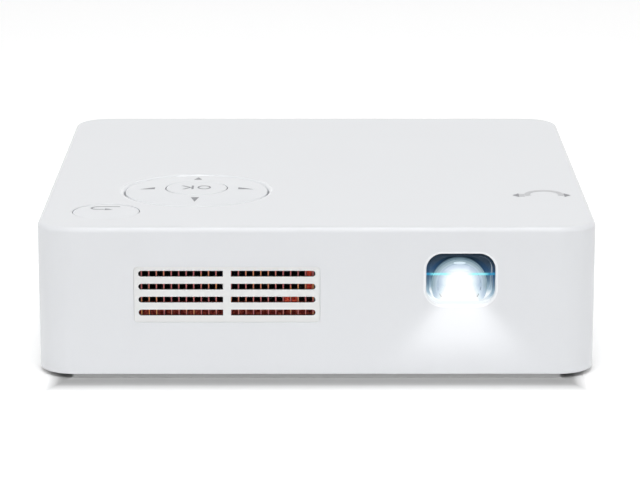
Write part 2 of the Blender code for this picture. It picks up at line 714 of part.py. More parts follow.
def slot_rows(centre, rows, length):
    """Rows of paired vent slots on either side of a post."""
    outlines = []
    for row in range(rows):
        level = centre[1] + (row - (rows - 1) / 2) * VENT_ROW_PITCH
        for side in (-1, 1):
            inner_end = centre[0] + side * VENT_POST / 2
            outlines.append(vent_slot(inner_end, level, length, VENT_SLOT_HEIGHT, side))
    return outlines


def round_upper_edge(piece, level, width, steps):
    """Round the edges of a mesh that lie at one height."""
    shape = bmesh.new()
    shape.from_mesh(piece.data)
    rim = [edge for edge in shape.edges if all(abs(v.co.z - level) < MERGE_DISTANCE for v in edge.verts)]
    rim = [edge for edge in rim if edge.calc_face_angle() > RIM_ANGLE]
    bmesh.ops.bevel(shape, geom=rim, offset=width, segments=steps, profile=0.5, affect="EDGES")
    bmesh.ops.recalc_face_normals(shape, faces=shape.faces)
    shape.to_mesh(piece.data)
    shape.free()
    piece.data.shade_smooth()
    piece.data.set_sharp_from_angle(angle=SHARP_ANGLE)


def corner_places(inset):
    """The four points that lie inset from the case's side walls, front left first."""
    return [
        (side * (CASE_WIDTH / 2 - inset), end * (CASE_DEPTH / 2 - inset))
        for end in (-1, 1)
        for side in (-1, 1)
    ]


def key_boss_places():
    """The four points round the key ring where the keypad board meets the top cover."""
    reach = PAD_FLANGE_RADIUS + KEY_BOSS_RADIUS + KEY_BOSS_GAP
    return [(PAD_X + reach * math.cos(turn), PAD_Y + reach * math.sin(turn)) for turn in KEY_BOSS_TURNS]


def board_post_places():
    """The four points where the main board stands on posts."""
    across = BOARD_HALF_WIDTH - BOARD_SCREW_INSET
    return [(x, y) for y in (BOARD_FRONT + BOARD_SCREW_INSET, BOARD_BACK - BOARD_SCREW_BACK_INSET)
            for x in (-across, across)]


def port_z(height):
    """Middle height of a socket that stands on the main board."""
    return PORT_LOW + height / 2


def make_top_cover():
    """The deep tub that is the top, front, back and sides."""
    outline = rounded_rectangle((0, 0), CASE_WIDTH, CASE_DEPTH, CASE_CORNER, CASE_CORNER_STEPS)
    cover = prism("top_cover", [outline], CASE_BASE, CASE_TOP)
    round_upper_edge(cover, CASE_TOP, CASE_FILLET, FILLET_STEPS)
    round_upper_edge(cover, CASE_BASE, CASE_RIM_CHAMFER, 1)
    inside = rounded_rectangle(
        (0, 0),
        CASE_WIDTH - 2 * CASE_WALL,
        CASE_DEPTH - 2 * CASE_WALL,
        CASE_CORNER - CASE_WALL,
        CASE_CORNER_STEPS,
    )
    cut(cover, prism("cover_inside", [inside], CASE_BASE - OVERRUN, CEILING))
    for number, (x, y) in enumerate(corner_places(BOSS_INSET), 1):
        foot = FLOOR + BOSS_SEAT_HEIGHT + SEAT_GAP
        post = rod(f"cover_boss_{number}", (x, y, foot), (x, y, CEILING + OVERLAP), BOSS_RADIUS)
        join(cover, post)
        pilot_top = CASE_BASE + SCREW_SINK + SCREW_LENGTH + SEAT_GAP * 2
        cut(cover, rod(f"cover_pilot_{number}", (x, y, foot - OVERRUN), (x, y, pilot_top),
                       SCREW_RADIUS + SEAT_GAP, HOLE_STEPS))
    for number, (x, y) in enumerate(key_boss_places(), 1):
        foot = KEY_BOARD_TOP + SEAT_GAP
        boss = rod(f"key_boss_{number}", (x, y, foot), (x, y, CEILING + OVERLAP), KEY_BOSS_RADIUS, BOSS_STEPS)
        join(cover, boss)
    cut_front(cover)
    cut_top(cover)
    cut_sides(cover)
    cut_rear(cover)
    return cover


def cut_front(cover):
    """Openings for the vent grille and the lens."""
    vent = rounded_rectangle(
        (VENT_X, VENT_Z), VENT_WIDTH + 2 * SEAT_GAP, VENT_HEIGHT + 2 * SEAT_GAP, VENT_CORNER + SEAT_GAP
    )
    cut(cover, prism("vent_opening", [vent], FRONT - OVERRUN, INNER_FRONT + OVERRUN, XZ_PLANE))
    window = []
    for growth in (0, WINDOW_CHAMFER):
        margin = SEAT_GAP + growth
        window.append(
            rounded_rectangle(
                (WINDOW_X, WINDOW_Z),
                WINDOW_WIDTH + 2 * margin,
                WINDOW_HEIGHT + 2 * margin,
                WINDOW_CORNER + margin,
            )
        )
    levels = [
        (INNER_FRONT + OVERRUN, window[0]),
        (FRONT + WINDOW_CHAMFER, window[0]),
        (FRONT, window[1]),
        (FRONT - OVERRUN, window[1]),
    ]
    cut(cover, loft_along_y("window_opening", levels))


def cut_top(cover):
    """Round holes for the key ring and the back button."""
    for name, x, y, radius in (
        ("pad_hole", PAD_X, PAD_Y, PAD_HOLE_RADIUS),
        ("back_hole", BACK_X, BACK_Y, BACK_HOLE_RADIUS),
    ):
        cut(cover, rod(name, (x, y, CEILING - OVERRUN), (x, y, CASE_TOP + OVERRUN), radius, FINE_STEPS))


def cut_sides(cover):
    """Fan slots on the left, and the focus wheel's slot and speaker holes on the right."""
    slots = slot_rows((FAN_Y, FAN_Z), SIDE_VENT_ROWS, SIDE_VENT_SLOT_LENGTH)
    cut(cover, prism("fan_slots", slots, LEFT - OVERRUN, INNER_LEFT + OVERRUN, YZ_PLANE))
    wheel_middle = (FOCUS_Y, (FOCUS_WHEEL_LOW + FOCUS_WHEEL_TOP) / 2)
    height = FOCUS_WHEEL_THICKNESS + 2 * FOCUS_SLOT_MARGIN
    wheel_slot = rounded_rectangle(wheel_middle, 2 * FOCUS_SLOT_HALF, height, height / 2)
    cut(cover, prism("wheel_slot", [wheel_slot], INNER_RIGHT - OVERRUN, RIGHT + OVERRUN, YZ_PLANE))
    holes = [circle((SPEAKER_Y, SPEAKER_Z), SPEAKER_HOLE_RADIUS, HOLE_STEPS)]
    for ring in range(1, SPEAKER_HOLE_RINGS + 1):
        for step in range(6 * ring):
            angle = 2 * math.pi * step / (6 * ring)
            reach = ring * SPEAKER_HOLE_PITCH
            place = (SPEAKER_Y + reach * math.cos(angle), SPEAKER_Z + reach * math.sin(angle))
            holes.append(circle(place, SPEAKER_HOLE_RADIUS, HOLE_STEPS))
    cut(cover, prism("speaker_holes", holes, INNER_RIGHT - OVERRUN, RIGHT + OVERRUN, YZ_PLANE))


def cut_rear(cover):
    """Openings for the sockets, the power switch and the infra-red window."""
    gap = 2 * PORT_GAP
    outlines = [
        hdmi_outline(PORT_GAP),
        rounded_rectangle((USB_X, port_z(USB_HEIGHT)), USB_WIDTH + gap, USB_HEIGHT + gap, PORT_GAP * 2),
        circle((DC_X, port_z(DC_HEIGHT)), DC_COLLAR_RADIUS + PORT_GAP),
        circle((AUDIO_X, port_z(AUDIO_HEIGHT)), AUDIO_COLLAR_RADIUS + PORT_GAP),
        rounded_rectangle(
            (POWER_X + POWER_TRAVEL / 2, POWER_Z),
            POWER_KNOB_WIDTH + POWER_TRAVEL + gap,
            POWER_KNOB_HEIGHT + gap,
            PORT_GAP * 2,
        ),
        rounded_rectangle((IR_X, IR_Z), IR_WIDTH + gap, IR_HEIGHT + gap, IR_HEIGHT / 2 + PORT_GAP),
    ]
    cut(cover, prism("rear_openings", outlines, INNER_BACK - OVERRUN, BACK + OVERRUN, XZ_PLANE))


def hdmi_outline(margin):
    """The HDMI shell's outline: flat on top, drawn in at its lower corners."""
    half = HDMI_WIDTH / 2 + margin
    low = PORT_LOW - margin
    high = PORT_LOW + HDMI_HEIGHT + margin
    return [
        (HDMI_X + half, high),
        (HDMI_X - half, high),
        (HDMI_X - half, low + HDMI_SLOPE),
        (HDMI_X - half + HDMI_SLOPE, low),
        (HDMI_X + half - HDMI_SLOPE, low),
        (HDMI_X + half, low + HDMI_SLOPE),
    ]


def loft_along_y(name, levels, closed=False):
    """A solid through outlines of equal point counts; levels are (y, outline) pairs.

    Where closed is set, the last outline joins the first, as round a hollow tube."""
    shape = bmesh.new()
    rings = []
    for y, outline in levels:
        rings.append([shape.verts.new((u, y, v)) for u, v in outline])
    pairs = list(zip(rings, rings[1:]))
    if closed:
        pairs.append((rings[-1], rings[0]))
    else:
        shape.faces.new(rings[0])
        shape.faces.new(rings[-1])
    for ring, after in pairs:
        count = len(ring)
        for i in range(count):
            j = (i + 1) % count
            shape.faces.new((ring[i], ring[j], after[j], after[i]))
    return from_bmesh(name, shape)


def make_bottom_cover():
    """The plate that closes the tub, with the posts and rests that carry the inside."""
    shrink = CASE_WALL + SEAT_GAP
    outline = rounded_rectangle(
        (0, 0), CASE_WIDTH - 2 * shrink, CASE_DEPTH - 2 * shrink, CASE_CORNER - shrink, CASE_CORNER_STEPS
    )
    plate = prism("bottom_cover", [outline], CASE_BASE, FLOOR)
    round_upper_edge(plate, CASE_BASE, CASE_RIM_CHAMFER, 1)
    inside = FLOOR - OVERLAP
    boss_top = FLOOR + BOSS_SEAT_HEIGHT
    for number, (x, y) in enumerate(corner_places(BOSS_INSET), 1):
        join(plate, rod(f"plate_boss_{number}", (x, y, inside), (x, y, boss_top), BOSS_RADIUS))
        hole_top = boss_top + OVERRUN
        cut(plate, rod(f"screw_hole_{number}", (x, y, CASE_BASE - OVERRUN), (x, y, hole_top),
                       SCREW_RADIUS + SEAT_GAP, HOLE_STEPS))
        sink = CASE_BASE + SCREW_SINK + SCREW_HEAD_HEIGHT + SEAT_GAP
        cut(plate, rod(f"head_sink_{number}", (x, y, CASE_BASE - OVERRUN), (x, y, sink),
                       SCREW_HEAD_RADIUS + SEAT_GAP))
    for number, (x, y) in enumerate(corner_places(FOOT_INSET), 1):
        pocket = FOOT_THICKNESS + SEAT_GAP
        cut(plate, rod(f"foot_pocket_{number}", (x, y, CASE_BASE - OVERRUN), (x, y, pocket),
                       FOOT_RADIUS + SEAT_GAP, MIDDLE_STEPS))
    add_insert_boss(plate, inside)
    for number, (x, y) in enumerate(board_post_places(), 1):
        post = rod(f"board_post_{number}", (x, y, inside), (x, y, BOARD_LOW - SEAT_GAP), BOARD_POST_RADIUS)
        join(plate, post)
        hole = BOARD_SCREW_HEAD - BOARD_SCREW_LENGTH - SEAT_GAP
        cut(plate, rod(f"board_pilot_{number}", (x, y, hole), (x, y, BOARD_TOP),
                       SCREW_RADIUS + SEAT_GAP, HOLE_STEPS))
    add_rests(plate, inside)
    return plate


def add_insert_boss(plate, inside):
    """The boss that holds the tripod insert."""
    pocket = INSERT_RADIUS + SEAT_GAP
    pocket_top = CASE_BASE + INSERT_LENGTH + SEAT_GAP
    boss_top = pocket_top + INSERT_BOSS_CAP
    join(plate, rod("insert_boss", (0, 0, inside), (0, 0, boss_top), INSERT_BOSS_RADIUS, MIDDLE_STEPS))
    cut(plate, rod("insert_pocket", (0, 0, CASE_BASE - OVERRUN), (0, 0, pocket_top), pocket, MIDDLE_STEPS))


def add_rests(plate, inside):
    """Ribs under the heatsink and engine, the speaker's cradle and the fan's stops."""
    half_rest = REST_THICKNESS / 2
    for name, share in FIN_REST_SHARES.items():
        middle = FIN_FRONT + FIN_DEPTH * share
        low = (FIRST_FIN_X, middle - half_rest, inside)
        high = (LAST_FIN_X, middle + half_rest, FIN_LOW - SEAT_GAP)
        join(plate, box(f"heatsink_rest_{name}", low, high))
    for name, middle in (("front", ENGINE_FRONT + REST_INSET), ("back", ENGINE_BACK - REST_INSET)):
        low = (ENGINE_LEFT + REST_INSET, middle - half_rest, inside)
        high = (ENGINE_RIGHT - REST_INSET, middle + half_rest, ENGINE_LOW - SEAT_GAP)
        join(plate, box(f"engine_rest_{name}", low, high))
    cradle_right = INNER_RIGHT - SEAT_GAP
    cradle = box(
        "speaker_cradle",
        (cradle_right - CRADLE_THICKNESS, SPEAKER_Y - CRADLE_HALF_WIDTH, inside),
        (cradle_right, SPEAKER_Y + CRADLE_HALF_WIDTH, SPEAKER_Z - SPEAKER_RADIUS + SPEAKER_RIM),
    )
    join(plate, cradle)
    along = (SPEAKER_Y, SPEAKER_Z)
    seat = circle(along, SPEAKER_RADIUS + SEAT_GAP, FINE_STEPS)
    cut(plate, prism("speaker_seat", [seat], cradle_right - CRADLE_THICKNESS - OVERRUN, RIGHT, YZ_PLANE))
    stop_left = FAN_X + FAN_DEPTH / 2 + SEAT_GAP
    stop = box(
        "fan_stop",
        (stop_left, FAN_Y - FAN_SIDE / 2, inside),
        (stop_left + REST_THICKNESS, FAN_Y + FAN_SIDE / 2, FLOOR + FAN_STOP_HEIGHT),
    )
    join(plate, stop)


def make_foot(number, x, y):
    """A round rubber foot, set in its pocket."""
    profile = [
        (0, FOOT_THICKNESS),
        (FOOT_RADIUS, FOOT_THICKNESS),
        (FOOT_RADIUS, FOOT_BEVEL),
        (FOOT_RADIUS - FOOT_BEVEL, 0),
        (0, 0),
    ]
    return turned(f"rubber_foot_{number}", profile, Matrix.Translation((x, y, 0)), MIDDLE_STEPS)


def make_screw(name, x, y, head_level, length, up):
    """A flat-headed screw whose head's outer face is at head_level; up is 1 if it points up."""
    head_inner = head_level + up * SCREW_HEAD_HEIGHT
    screw = rod(name, (x, y, head_level), (x, y, head_inner), SCREW_HEAD_RADIUS)
    root = (x, y, head_inner - up * OVERLAP)
    tip = (x, y, head_level + up * length)
    join(screw, rod(name + "_shank", root, tip, SCREW_RADIUS, HOLE_STEPS))
    return screw


def make_case_screw(number, x, y):
    """One of the four screws in the bottom, with its cross recess."""
    head_level = CASE_BASE + SCREW_SINK
    screw = make_screw(f"case_screw_{number}", x, y, head_level, SCREW_LENGTH, 1)
    low = head_level - OVERRUN
    high = head_level + CROSS_DEPTH
    half_length = CROSS_LENGTH / 2
    half_width = CROSS_WIDTH / 2
    for turn, (half_x, half_y) in enumerate(((half_length, half_width), (half_width, half_length))):
        tool = box(f"cross_{number}_{turn}", (x - half_x, y - half_y, low), (x + half_x, y + half_y, high))
        cut(screw, tool)
    return screw


def make_tripod_insert():
    """A brass insert with a blind hole, grooved round its outside."""
    low = CASE_BASE
    top = CASE_BASE + INSERT_LENGTH
    middle = (low + top) / 2
    half_groove = INSERT_GROOVE_WIDTH / 2
    profile = [
        (0, top),
        (INSERT_RADIUS, top),
        (INSERT_RADIUS, middle + half_groove),
        (INSERT_RADIUS - INSERT_GROOVE_DEPTH, middle + half_groove),
        (INSERT_RADIUS - INSERT_GROOVE_DEPTH, middle - half_groove),
        (INSERT_RADIUS, middle - half_groove),
        (INSERT_RADIUS, low),
        (INSERT_BORE_RADIUS, low),
        (INSERT_BORE_RADIUS, low + INSERT_DEPTH),
        (0, low + INSERT_DEPTH),
    ]
    return turned("tripod_insert", profile, steps=MIDDLE_STEPS)


def make_vent_grille():
    """The slotted insert in the front wall, with a flange behind the wall."""
    plate = rounded_rectangle((VENT_X, VENT_Z), VENT_WIDTH, VENT_HEIGHT, VENT_CORNER)
    flange_low = INNER_FRONT + SEAT_GAP
    grille = prism("vent_grille", [plate], FRONT + VENT_RECESS, flange_low + OVERLAP, XZ_PLANE)
    lap = 2 * (VENT_FLANGE_LAP + SEAT_GAP)
    flange_corner = VENT_CORNER + SEAT_GAP
    flange = rounded_rectangle((VENT_X, VENT_Z), VENT_WIDTH + lap, VENT_HEIGHT + lap, flange_corner)
    flange_high = flange_low + VENT_FLANGE_THICKNESS
    join(grille, prism("vent_flange", [flange], flange_low, flange_high, XZ_PLANE))
    slots = slot_rows((VENT_X, VENT_ROWS_Z), VENT_ROWS, VENT_SLOT_LENGTH)
    cut(grille, prism("vent_slots", slots, FRONT - OVERRUN, flange_high + OVERRUN, XZ_PLANE))
    return grille


def make_lens_bezel():
    """The dark funnel that runs from the window in the wall to the round hole at the barrel."""
    window = (WINDOW_X, WINDOW_Z)
    lens = (LENS_X, LENS_Z)
    funnel = (LENS_X, LENS_Z + BARREL_WALL / 2)
    flange_centre = (WINDOW_X, (WINDOW_Z + LENS_Z) / 2)
    lip_front = FRONT + BEZEL_RECESS
    flange_front = INNER_FRONT + SEAT_GAP
    flange_back = flange_front + BEZEL_FLANGE_THICKNESS
    lip_outer = rounded_rectangle(window, WINDOW_WIDTH, WINDOW_HEIGHT, WINDOW_CORNER)
    lip_size = (WINDOW_WIDTH - 2 * BEZEL_LIP, WINDOW_HEIGHT - 2 * BEZEL_LIP)
    lip_inner = rounded_rectangle(window, *lip_size, WINDOW_CORNER - BEZEL_LIP)
    flange = rounded_rectangle(flange_centre, BEZEL_FLANGE_WIDTH, BEZEL_FLANGE_HEIGHT, WINDOW_CORNER)
    wall = 2 * BEZEL_WALL
    outer_corner = BEZEL_FUNNEL_CORNER + BEZEL_WALL
    outer = rounded_rectangle(funnel, BEZEL_FUNNEL_WIDTH + wall, BEZEL_FUNNEL_HEIGHT + wall, outer_corner)
    inner = rounded_rectangle(funnel, BEZEL_FUNNEL_WIDTH, BEZEL_FUNNEL_HEIGHT, BEZEL_FUNNEL_CORNER)
    hole = quarter_circle_points(lens, BARREL_RADIUS + RUNNING_GAP)
    back = FRONT + BEZEL_DEPTH
    levels = [
        (lip_front, lip_outer),
        (flange_front, lip_outer),
        (flange_front, flange),
        (flange_back, flange),
        (flange_back, outer),
        (back, outer),
        (back, hole),
        (back - BEZEL_WALL, hole),
        (back - BEZEL_WALL, inner),
        (FRONT + BEZEL_FUNNEL_DEPTH, inner),
        (lip_front + BEZEL_LIP_LENGTH, lip_inner),
        (lip_front, lip_inner),
    ]
    return loft_along_y("lens_bezel", levels, closed=True)


def make_ir_window():
    """The dark window over the infra-red receiver."""
    centre = (IR_X, IR_Z)
    face = rounded_rectangle(centre, IR_WIDTH, IR_HEIGHT, IR_HEIGHT / 2)
    flange_high = INNER_BACK - SEAT_GAP
    window = prism("ir_window", [face], flange_high - OVERLAP, BACK - IR_SINK, XZ_PLANE)
    lap = 2 * (PORT_GAP + IR_FLANGE_LAP)
    flange = rounded_rectangle(centre, IR_WIDTH + lap, IR_HEIGHT + lap, IR_HEIGHT / 2 + PORT_GAP)
    join(window, prism("ir_flange", [flange], flange_high - IR_FLANGE_THICKNESS, flange_high, XZ_PLANE))
    return window


def make_dpad_ring():
    """The four-way ring: a dished top, a flange under the cover, a skirt and four nibs."""
    outer = PAD_HOLE_RADIUS - RUNNING_GAP
    under = PAD_TOP - PAD_THICKNESS
    flange_low = PAD_FLANGE_TOP - PAD_FLANGE_THICKNESS
    hole = OK_RADIUS + RUNNING_GAP
    skirt_inner = GIMBAL_OUTER + GIMBAL_GAP
    skirt_outer = skirt_inner + SKIRT_THICKNESS
    middle = (outer + hole) / 2
    profile = [
        (hole, PAD_TOP - KEY_EDGE),
        (hole + KEY_EDGE, PAD_TOP),
        (middle, PAD_TOP - PAD_DISH),
        (outer - KEY_EDGE, PAD_TOP),
        (outer, PAD_TOP - KEY_EDGE),
        (outer, PAD_FLANGE_TOP),
        (PAD_FLANGE_RADIUS, PAD_FLANGE_TOP),
        (PAD_FLANGE_RADIUS, flange_low),
        (outer - KEY_EDGE, flange_low),
        (outer - KEY_EDGE, under),
        (skirt_outer, under),
        (skirt_outer, SKIRT_LOW),
        (skirt_inner, SKIRT_LOW),
        (skirt_inner, under + KEY_EDGE),
        (hole, under + KEY_EDGE),
    ]
    ring = turned("dpad_ring", profile, Matrix.Translation((PAD_X, PAD_Y, 0)), FINE_STEPS, ring=True)
    for name, x, y in switch_places():
        if name in DIRECTIONS:
            nib_top = (x, y, under + OVERLAP)
            join(ring, rod(f"nib_{name}", (x, y, KEY_STEM_LOW), nib_top, NIB_RADIUS, HOLE_STEPS))
    reach = skirt_outer + OVERRUN
    bearing = rod(
        "skirt_bearing",
        (PAD_X, PAD_Y - reach, GIMBAL_Z),
        (PAD_X, PAD_Y + reach, GIMBAL_Z),
        GIMBAL_PIN_RADIUS + RUNNING_GAP,
        HOLE_STEPS,
    )
    cut(ring, bearing)
    return ring


def switch_places():
    """Name and place of each tact switch."""
    places = [
        (name, PAD_X + x * SWITCH_SPREAD, PAD_Y + y * SWITCH_SPREAD)
        for name, (x, y) in DIRECTIONS.items()
    ]
    places.append(("ok", PAD_X, PAD_Y))
    places.append(("back", BACK_X, BACK_Y))
    return places


def make_gimbal_ring():
    """The ring between collar and key ring: holes along X, pins along Y."""
    low = GIMBAL_Z - GIMBAL_HEIGHT / 2
    high = GIMBAL_Z + GIMBAL_HEIGHT / 2
    profile = [(GIMBAL_OUTER, high), (GIMBAL_OUTER, low), (GIMBAL_INNER, low), (GIMBAL_INNER, high)]
    ring = turned("dpad_gimbal_ring", profile, Matrix.Translation((PAD_X, PAD_Y, 0)), ring=True)
    for end in (-1, 1):
        inner = (PAD_X, PAD_Y + end * (GIMBAL_OUTER - OVERLAP * 2), GIMBAL_Z)
        tip = (PAD_X, PAD_Y + end * (GIMBAL_OUTER + GIMBAL_GAP + SKIRT_THICKNESS - SEAT_GAP), GIMBAL_Z)
        join(ring, rod(f"gimbal_pin_{end}", inner, tip, GIMBAL_PIN_RADIUS, HOLE_STEPS))
    reach = GIMBAL_OUTER + OVERRUN
    left = (PAD_X - reach, PAD_Y, GIMBAL_Z)
    right = (PAD_X + reach, PAD_Y, GIMBAL_Z)
    cut(ring, rod("gimbal_holes", left, right, GIMBAL_PIN_RADIUS + RUNNING_GAP, HOLE_STEPS))
    return ring


def make_keypad_collar():
    """The fixed collar that guides the OK button and carries the gimbal ring on two pins."""
    low = KEY_BOARD_TOP + SEAT_GAP
    outer = GIMBAL_INNER - GIMBAL_GAP
    profile = [
        (outer, COLLAR_TOP),
        (outer, low + COLLAR_FLANGE),
        (COLLAR_FLANGE_RADIUS, low + COLLAR_FLANGE),
        (COLLAR_FLANGE_RADIUS, low),
        (COLLAR_INNER, low),
        (COLLAR_INNER, COLLAR_TOP),
    ]
    collar = turned("keypad_collar", profile, Matrix.Translation((PAD_X, PAD_Y, 0)), ring=True)
    for side in (-1, 1):
        inner = (PAD_X + side * (outer - OVERLAP * 2), PAD_Y, GIMBAL_Z)
        tip = (PAD_X + side * (GIMBAL_OUTER - SEAT_GAP), PAD_Y, GIMBAL_Z)
        join(collar, rod(f"collar_pin_{side}", inner, tip, GIMBAL_PIN_RADIUS, HOLE_STEPS))
    return collar


def make_ok_button():
    """The round button in the middle of the ring, on a stem that slides in the collar."""
    top = PAD_TOP + OK_RISE
    under = top - OK_CAP
    stem = COLLAR_INNER - RUNNING_GAP
    profile = [
        (0, top),
        (OK_RADIUS - KEY_EDGE, top),
        (OK_RADIUS, top - KEY_EDGE),
        (OK_RADIUS, under),
        (stem, under),
        (stem, KEY_STEM_LOW),
        (0, KEY_STEM_LOW),
    ]
    return turned("ok_button", profile, Matrix.Translation((PAD_X, PAD_Y, 0)), FINE_STEPS)


def make_back_button():
    """The round button at the front left corner, with a flange under the cover."""
    top = CASE_TOP - BACK_SINK
    radius = BACK_HOLE_RADIUS - RUNNING_GAP
    flange = BACK_HOLE_RADIUS + PAD_FLANGE_LAP / 2
    flange_top = CEILING - SEAT_GAP
    under = top - BACK_CAP
    profile = [
        (0, top),
        (radius - KEY_EDGE, top),
        (radius, top - KEY_EDGE),
        (radius, flange_top),
        (flange, flange_top),
        (flange, under),
        (BACK_STEM_RADIUS, under),
        (BACK_STEM_RADIUS, KEY_STEM_LOW),
        (0, KEY_STEM_LOW),
    ]
    return turned("back_button", profile, Matrix.Translation((BACK_X, BACK_Y, 0)), FINE_STEPS)


def make_keypad_board():
    """The board under the keys, screwed to bosses of the top cover."""
    centre = ((KEY_BOARD_LEFT + KEY_BOARD_RIGHT) / 2, (KEY_BOARD_FRONT + KEY_BOARD_BACK) / 2)
    width = KEY_BOARD_RIGHT - KEY_BOARD_LEFT
    depth = KEY_BOARD_BACK - KEY_BOARD_FRONT
    outline = rounded_rectangle(centre, width, depth, KEY_BOARD_CORNER)
    return prism("keypad_board", [outline], KEY_BOARD_LOW, KEY_BOARD_TOP)


def make_tact_switch(name, x, y):
    """A small square switch with a round plunger."""
    half = SWITCH_SIDE / 2
    body_top = SWITCH_LOW + SWITCH_BODY
    switch = box(f"tact_switch_{name}", (x - half, y - half, SWITCH_LOW), (x + half, y + half, body_top))
    plunger_low = (x, y, body_top - OVERLAP)
    join(switch, rod(f"plunger_{name}", plunger_low, (x, y, SWITCH_TOP), SWITCH_PLUNGER_RADIUS, HOLE_STEPS))
    return switch


def make_keypad_ribbon():
    """The flat ribbon from the keypad board down to the main board."""
    start_y = KEY_BOARD_BACK - RIBBON_LAP
    start_z = KEY_BOARD_LOW - SEAT_GAP - RIBBON_THICKNESS / 2
    end_y = start_y + RIBBON_LAP + RIBBON_SPAN
    end_z = BOARD_TOP + SEAT_GAP + RIBBON_THICKNESS / 2
    middle = []
    for step in range(RIBBON_STEPS + 1):
        t = step / RIBBON_STEPS
        ease = t * t * (3 - 2 * t)
        middle.append((start_y + RIBBON_LAP + RIBBON_SPAN * t, start_z + (end_z - start_z) * ease))
    middle.insert(0, (start_y, start_z))
    middle.append((end_y + RIBBON_LAP, end_z))
    above = []
    below = []
    for index, (y, z) in enumerate(middle):
        before = middle[max(index - 1, 0)]
        after = middle[min(index + 1, len(middle) - 1)]
        along = Vector((after[0] - before[0], after[1] - before[1])).normalized()
        offset = RIBBON_THICKNESS / 2
        above.append((y - along.y * offset, z + along.x * offset))
        below.append((y + along.y * offset, z - along.x * offset))
    outline = above + below[::-1]
    low = RIBBON_X - RIBBON_WIDTH / 2
    return prism("keypad_ribbon", [outline], low, low + RIBBON_WIDTH, YZ_PLANE)


def involute_turn(base, radius):
    """How far, in radians, an involute has turned where it reaches the radius."""
    roll = math.sqrt(max((radius / base) ** 2 - 1, 0))
    return roll - math.atan(roll)


def gear_outline(centre):
    """The pinion's outline, with involute flanks above its base circle."""
    base = PITCH_RADIUS * math.cos(GEAR_PRESSURE_ANGLE)
    tip = PITCH_RADIUS + GEAR_MODULE * PINION_ADDENDUM_SHARE
    root = PITCH_RADIUS - GEAR_MODULE * PINION_DEDENDUM_SHARE
    half_at_pitch = math.pi / (2 * GEAR_TEETH) - GEAR_BACKLASH / (2 * PITCH_RADIUS)
    half_at_base = half_at_pitch + involute_turn(base, PITCH_RADIUS)
    flank = [(root, half_at_base)]
    for step in range(FLANK_STEPS + 1):
        radius = base + (tip - base) * step / FLANK_STEPS
        flank.append((radius, half_at_base - involute_turn(base, radius)))
    points = []
    for tooth in range(GEAR_TEETH):
        middle = 2 * math.pi * tooth / GEAR_TEETH
        sides = [(radius, middle - half) for radius, half in flank]
        sides += [(radius, middle + half) for radius, half in reversed(flank)]
        points += [(centre[0] + r * math.cos(a), centre[1] + r * math.sin(a)) for r, a in sides]
    return points


def rack_outline():
    """The rack's outline seen from above, its teeth towards the pinion."""
    pitch_line = FOCUS_X - PITCH_RADIUS
    tip = GEAR_MODULE * RACK_ADDENDUM_SHARE
    root = GEAR_MODULE * RACK_DEDENDUM_SHARE
    slope = math.tan(GEAR_PRESSURE_ANGLE)
    half_at_pitch = GEAR_PITCH / 4 - GEAR_BACKLASH / 2
    start = FOCUS_Y - RACK_TEETH * GEAR_PITCH / 2
    back = pitch_line - root - RACK_BACK
    points = [(back, start), (pitch_line - root, start)]
    for tooth in range(RACK_TEETH):
        middle = start + (tooth + 0.5) * GEAR_PITCH
        half_root = half_at_pitch + root * slope
        half_tip = half_at_pitch - tip * slope
        points.append((pitch_line - root, middle - half_root))
        points.append((pitch_line + tip, middle - half_tip))
        points.append((pitch_line + tip, middle + half_tip))
        points.append((pitch_line - root, middle + half_root))
    end = start + RACK_TEETH * GEAR_PITCH
    points += [(pitch_line - root, end), (back, end)]
    return points


def make_focus_barrel():
    """The lens barrel with its side arm, which ends in a rack."""
    inner = BARREL_RADIUS - BARREL_WALL
    lip = inner - BARREL_LIP
    along = Matrix.Translation((LENS_X, BARREL_FRONT, LENS_Z)) @ Matrix.Rotation(-QUARTER_TURN, 4, "X")
    profile = [
        (lip, 0),
        (lip, BARREL_LIP),
        (inner, BARREL_LIP),
        (inner, BARREL_LENGTH - BARREL_LIP),
        (lip, BARREL_LENGTH - BARREL_LIP),
        (lip, BARREL_LENGTH),
        (BARREL_RADIUS, BARREL_LENGTH),
        (BARREL_RADIUS, 0),
    ]
    barrel = turned("focus_barrel", profile, along, MIDDLE_STEPS, ring=True)
    arm_y = BARREL_FRONT + ARM_SETBACK
    low = LENS_Z - ARM_HEIGHT / 2
    high = LENS_Z + ARM_HEIGHT / 2
    rack = rack_outline()
    back = rack[0][0]
    bar_right = back + RACK_BACK
    bar_end = FOCUS_Y - RACK_TEETH * GEAR_PITCH / 2 + OVERLAP
    arm = box(
        "focus_arm",
        (LENS_X + BARREL_RADIUS - BARREL_WALL / 2, arm_y - ARM_WIDTH / 2, low),
        (bar_right, arm_y + ARM_WIDTH / 2, high),
    )
    join(barrel, arm)
    inset = OVERLAP / 2
    bar_low = (back + inset, arm_y, low + inset)
    bar_high = (bar_right - inset, bar_end, high - inset)
    join(barrel, box("rack_bar", bar_low, bar_high))
    join(barrel, prism("rack_teeth", [rack], low, high))
    return barrel


def make_lens(name, edge_start, edge, radius, front_bulge, back_bulge):
    """A glass lens on the barrel's axis; edge_start is the Y of its edge's front."""
    place = Matrix.Translation((LENS_X, edge_start, LENS_Z)) @ Matrix.Rotation(-QUARTER_TURN, 4, "X")
    front = []
    back = []
    for step in range(LENS_CURVE_STEPS + 1):
        share = step / LENS_CURVE_STEPS
        drop = 1 - share * share
        front.append((radius * share, -front_bulge * drop))
        back.append((radius * share, edge + back_bulge * drop))
    profile = front + back[::-1]
    return turned(name, profile, place, MIDDLE_STEPS)


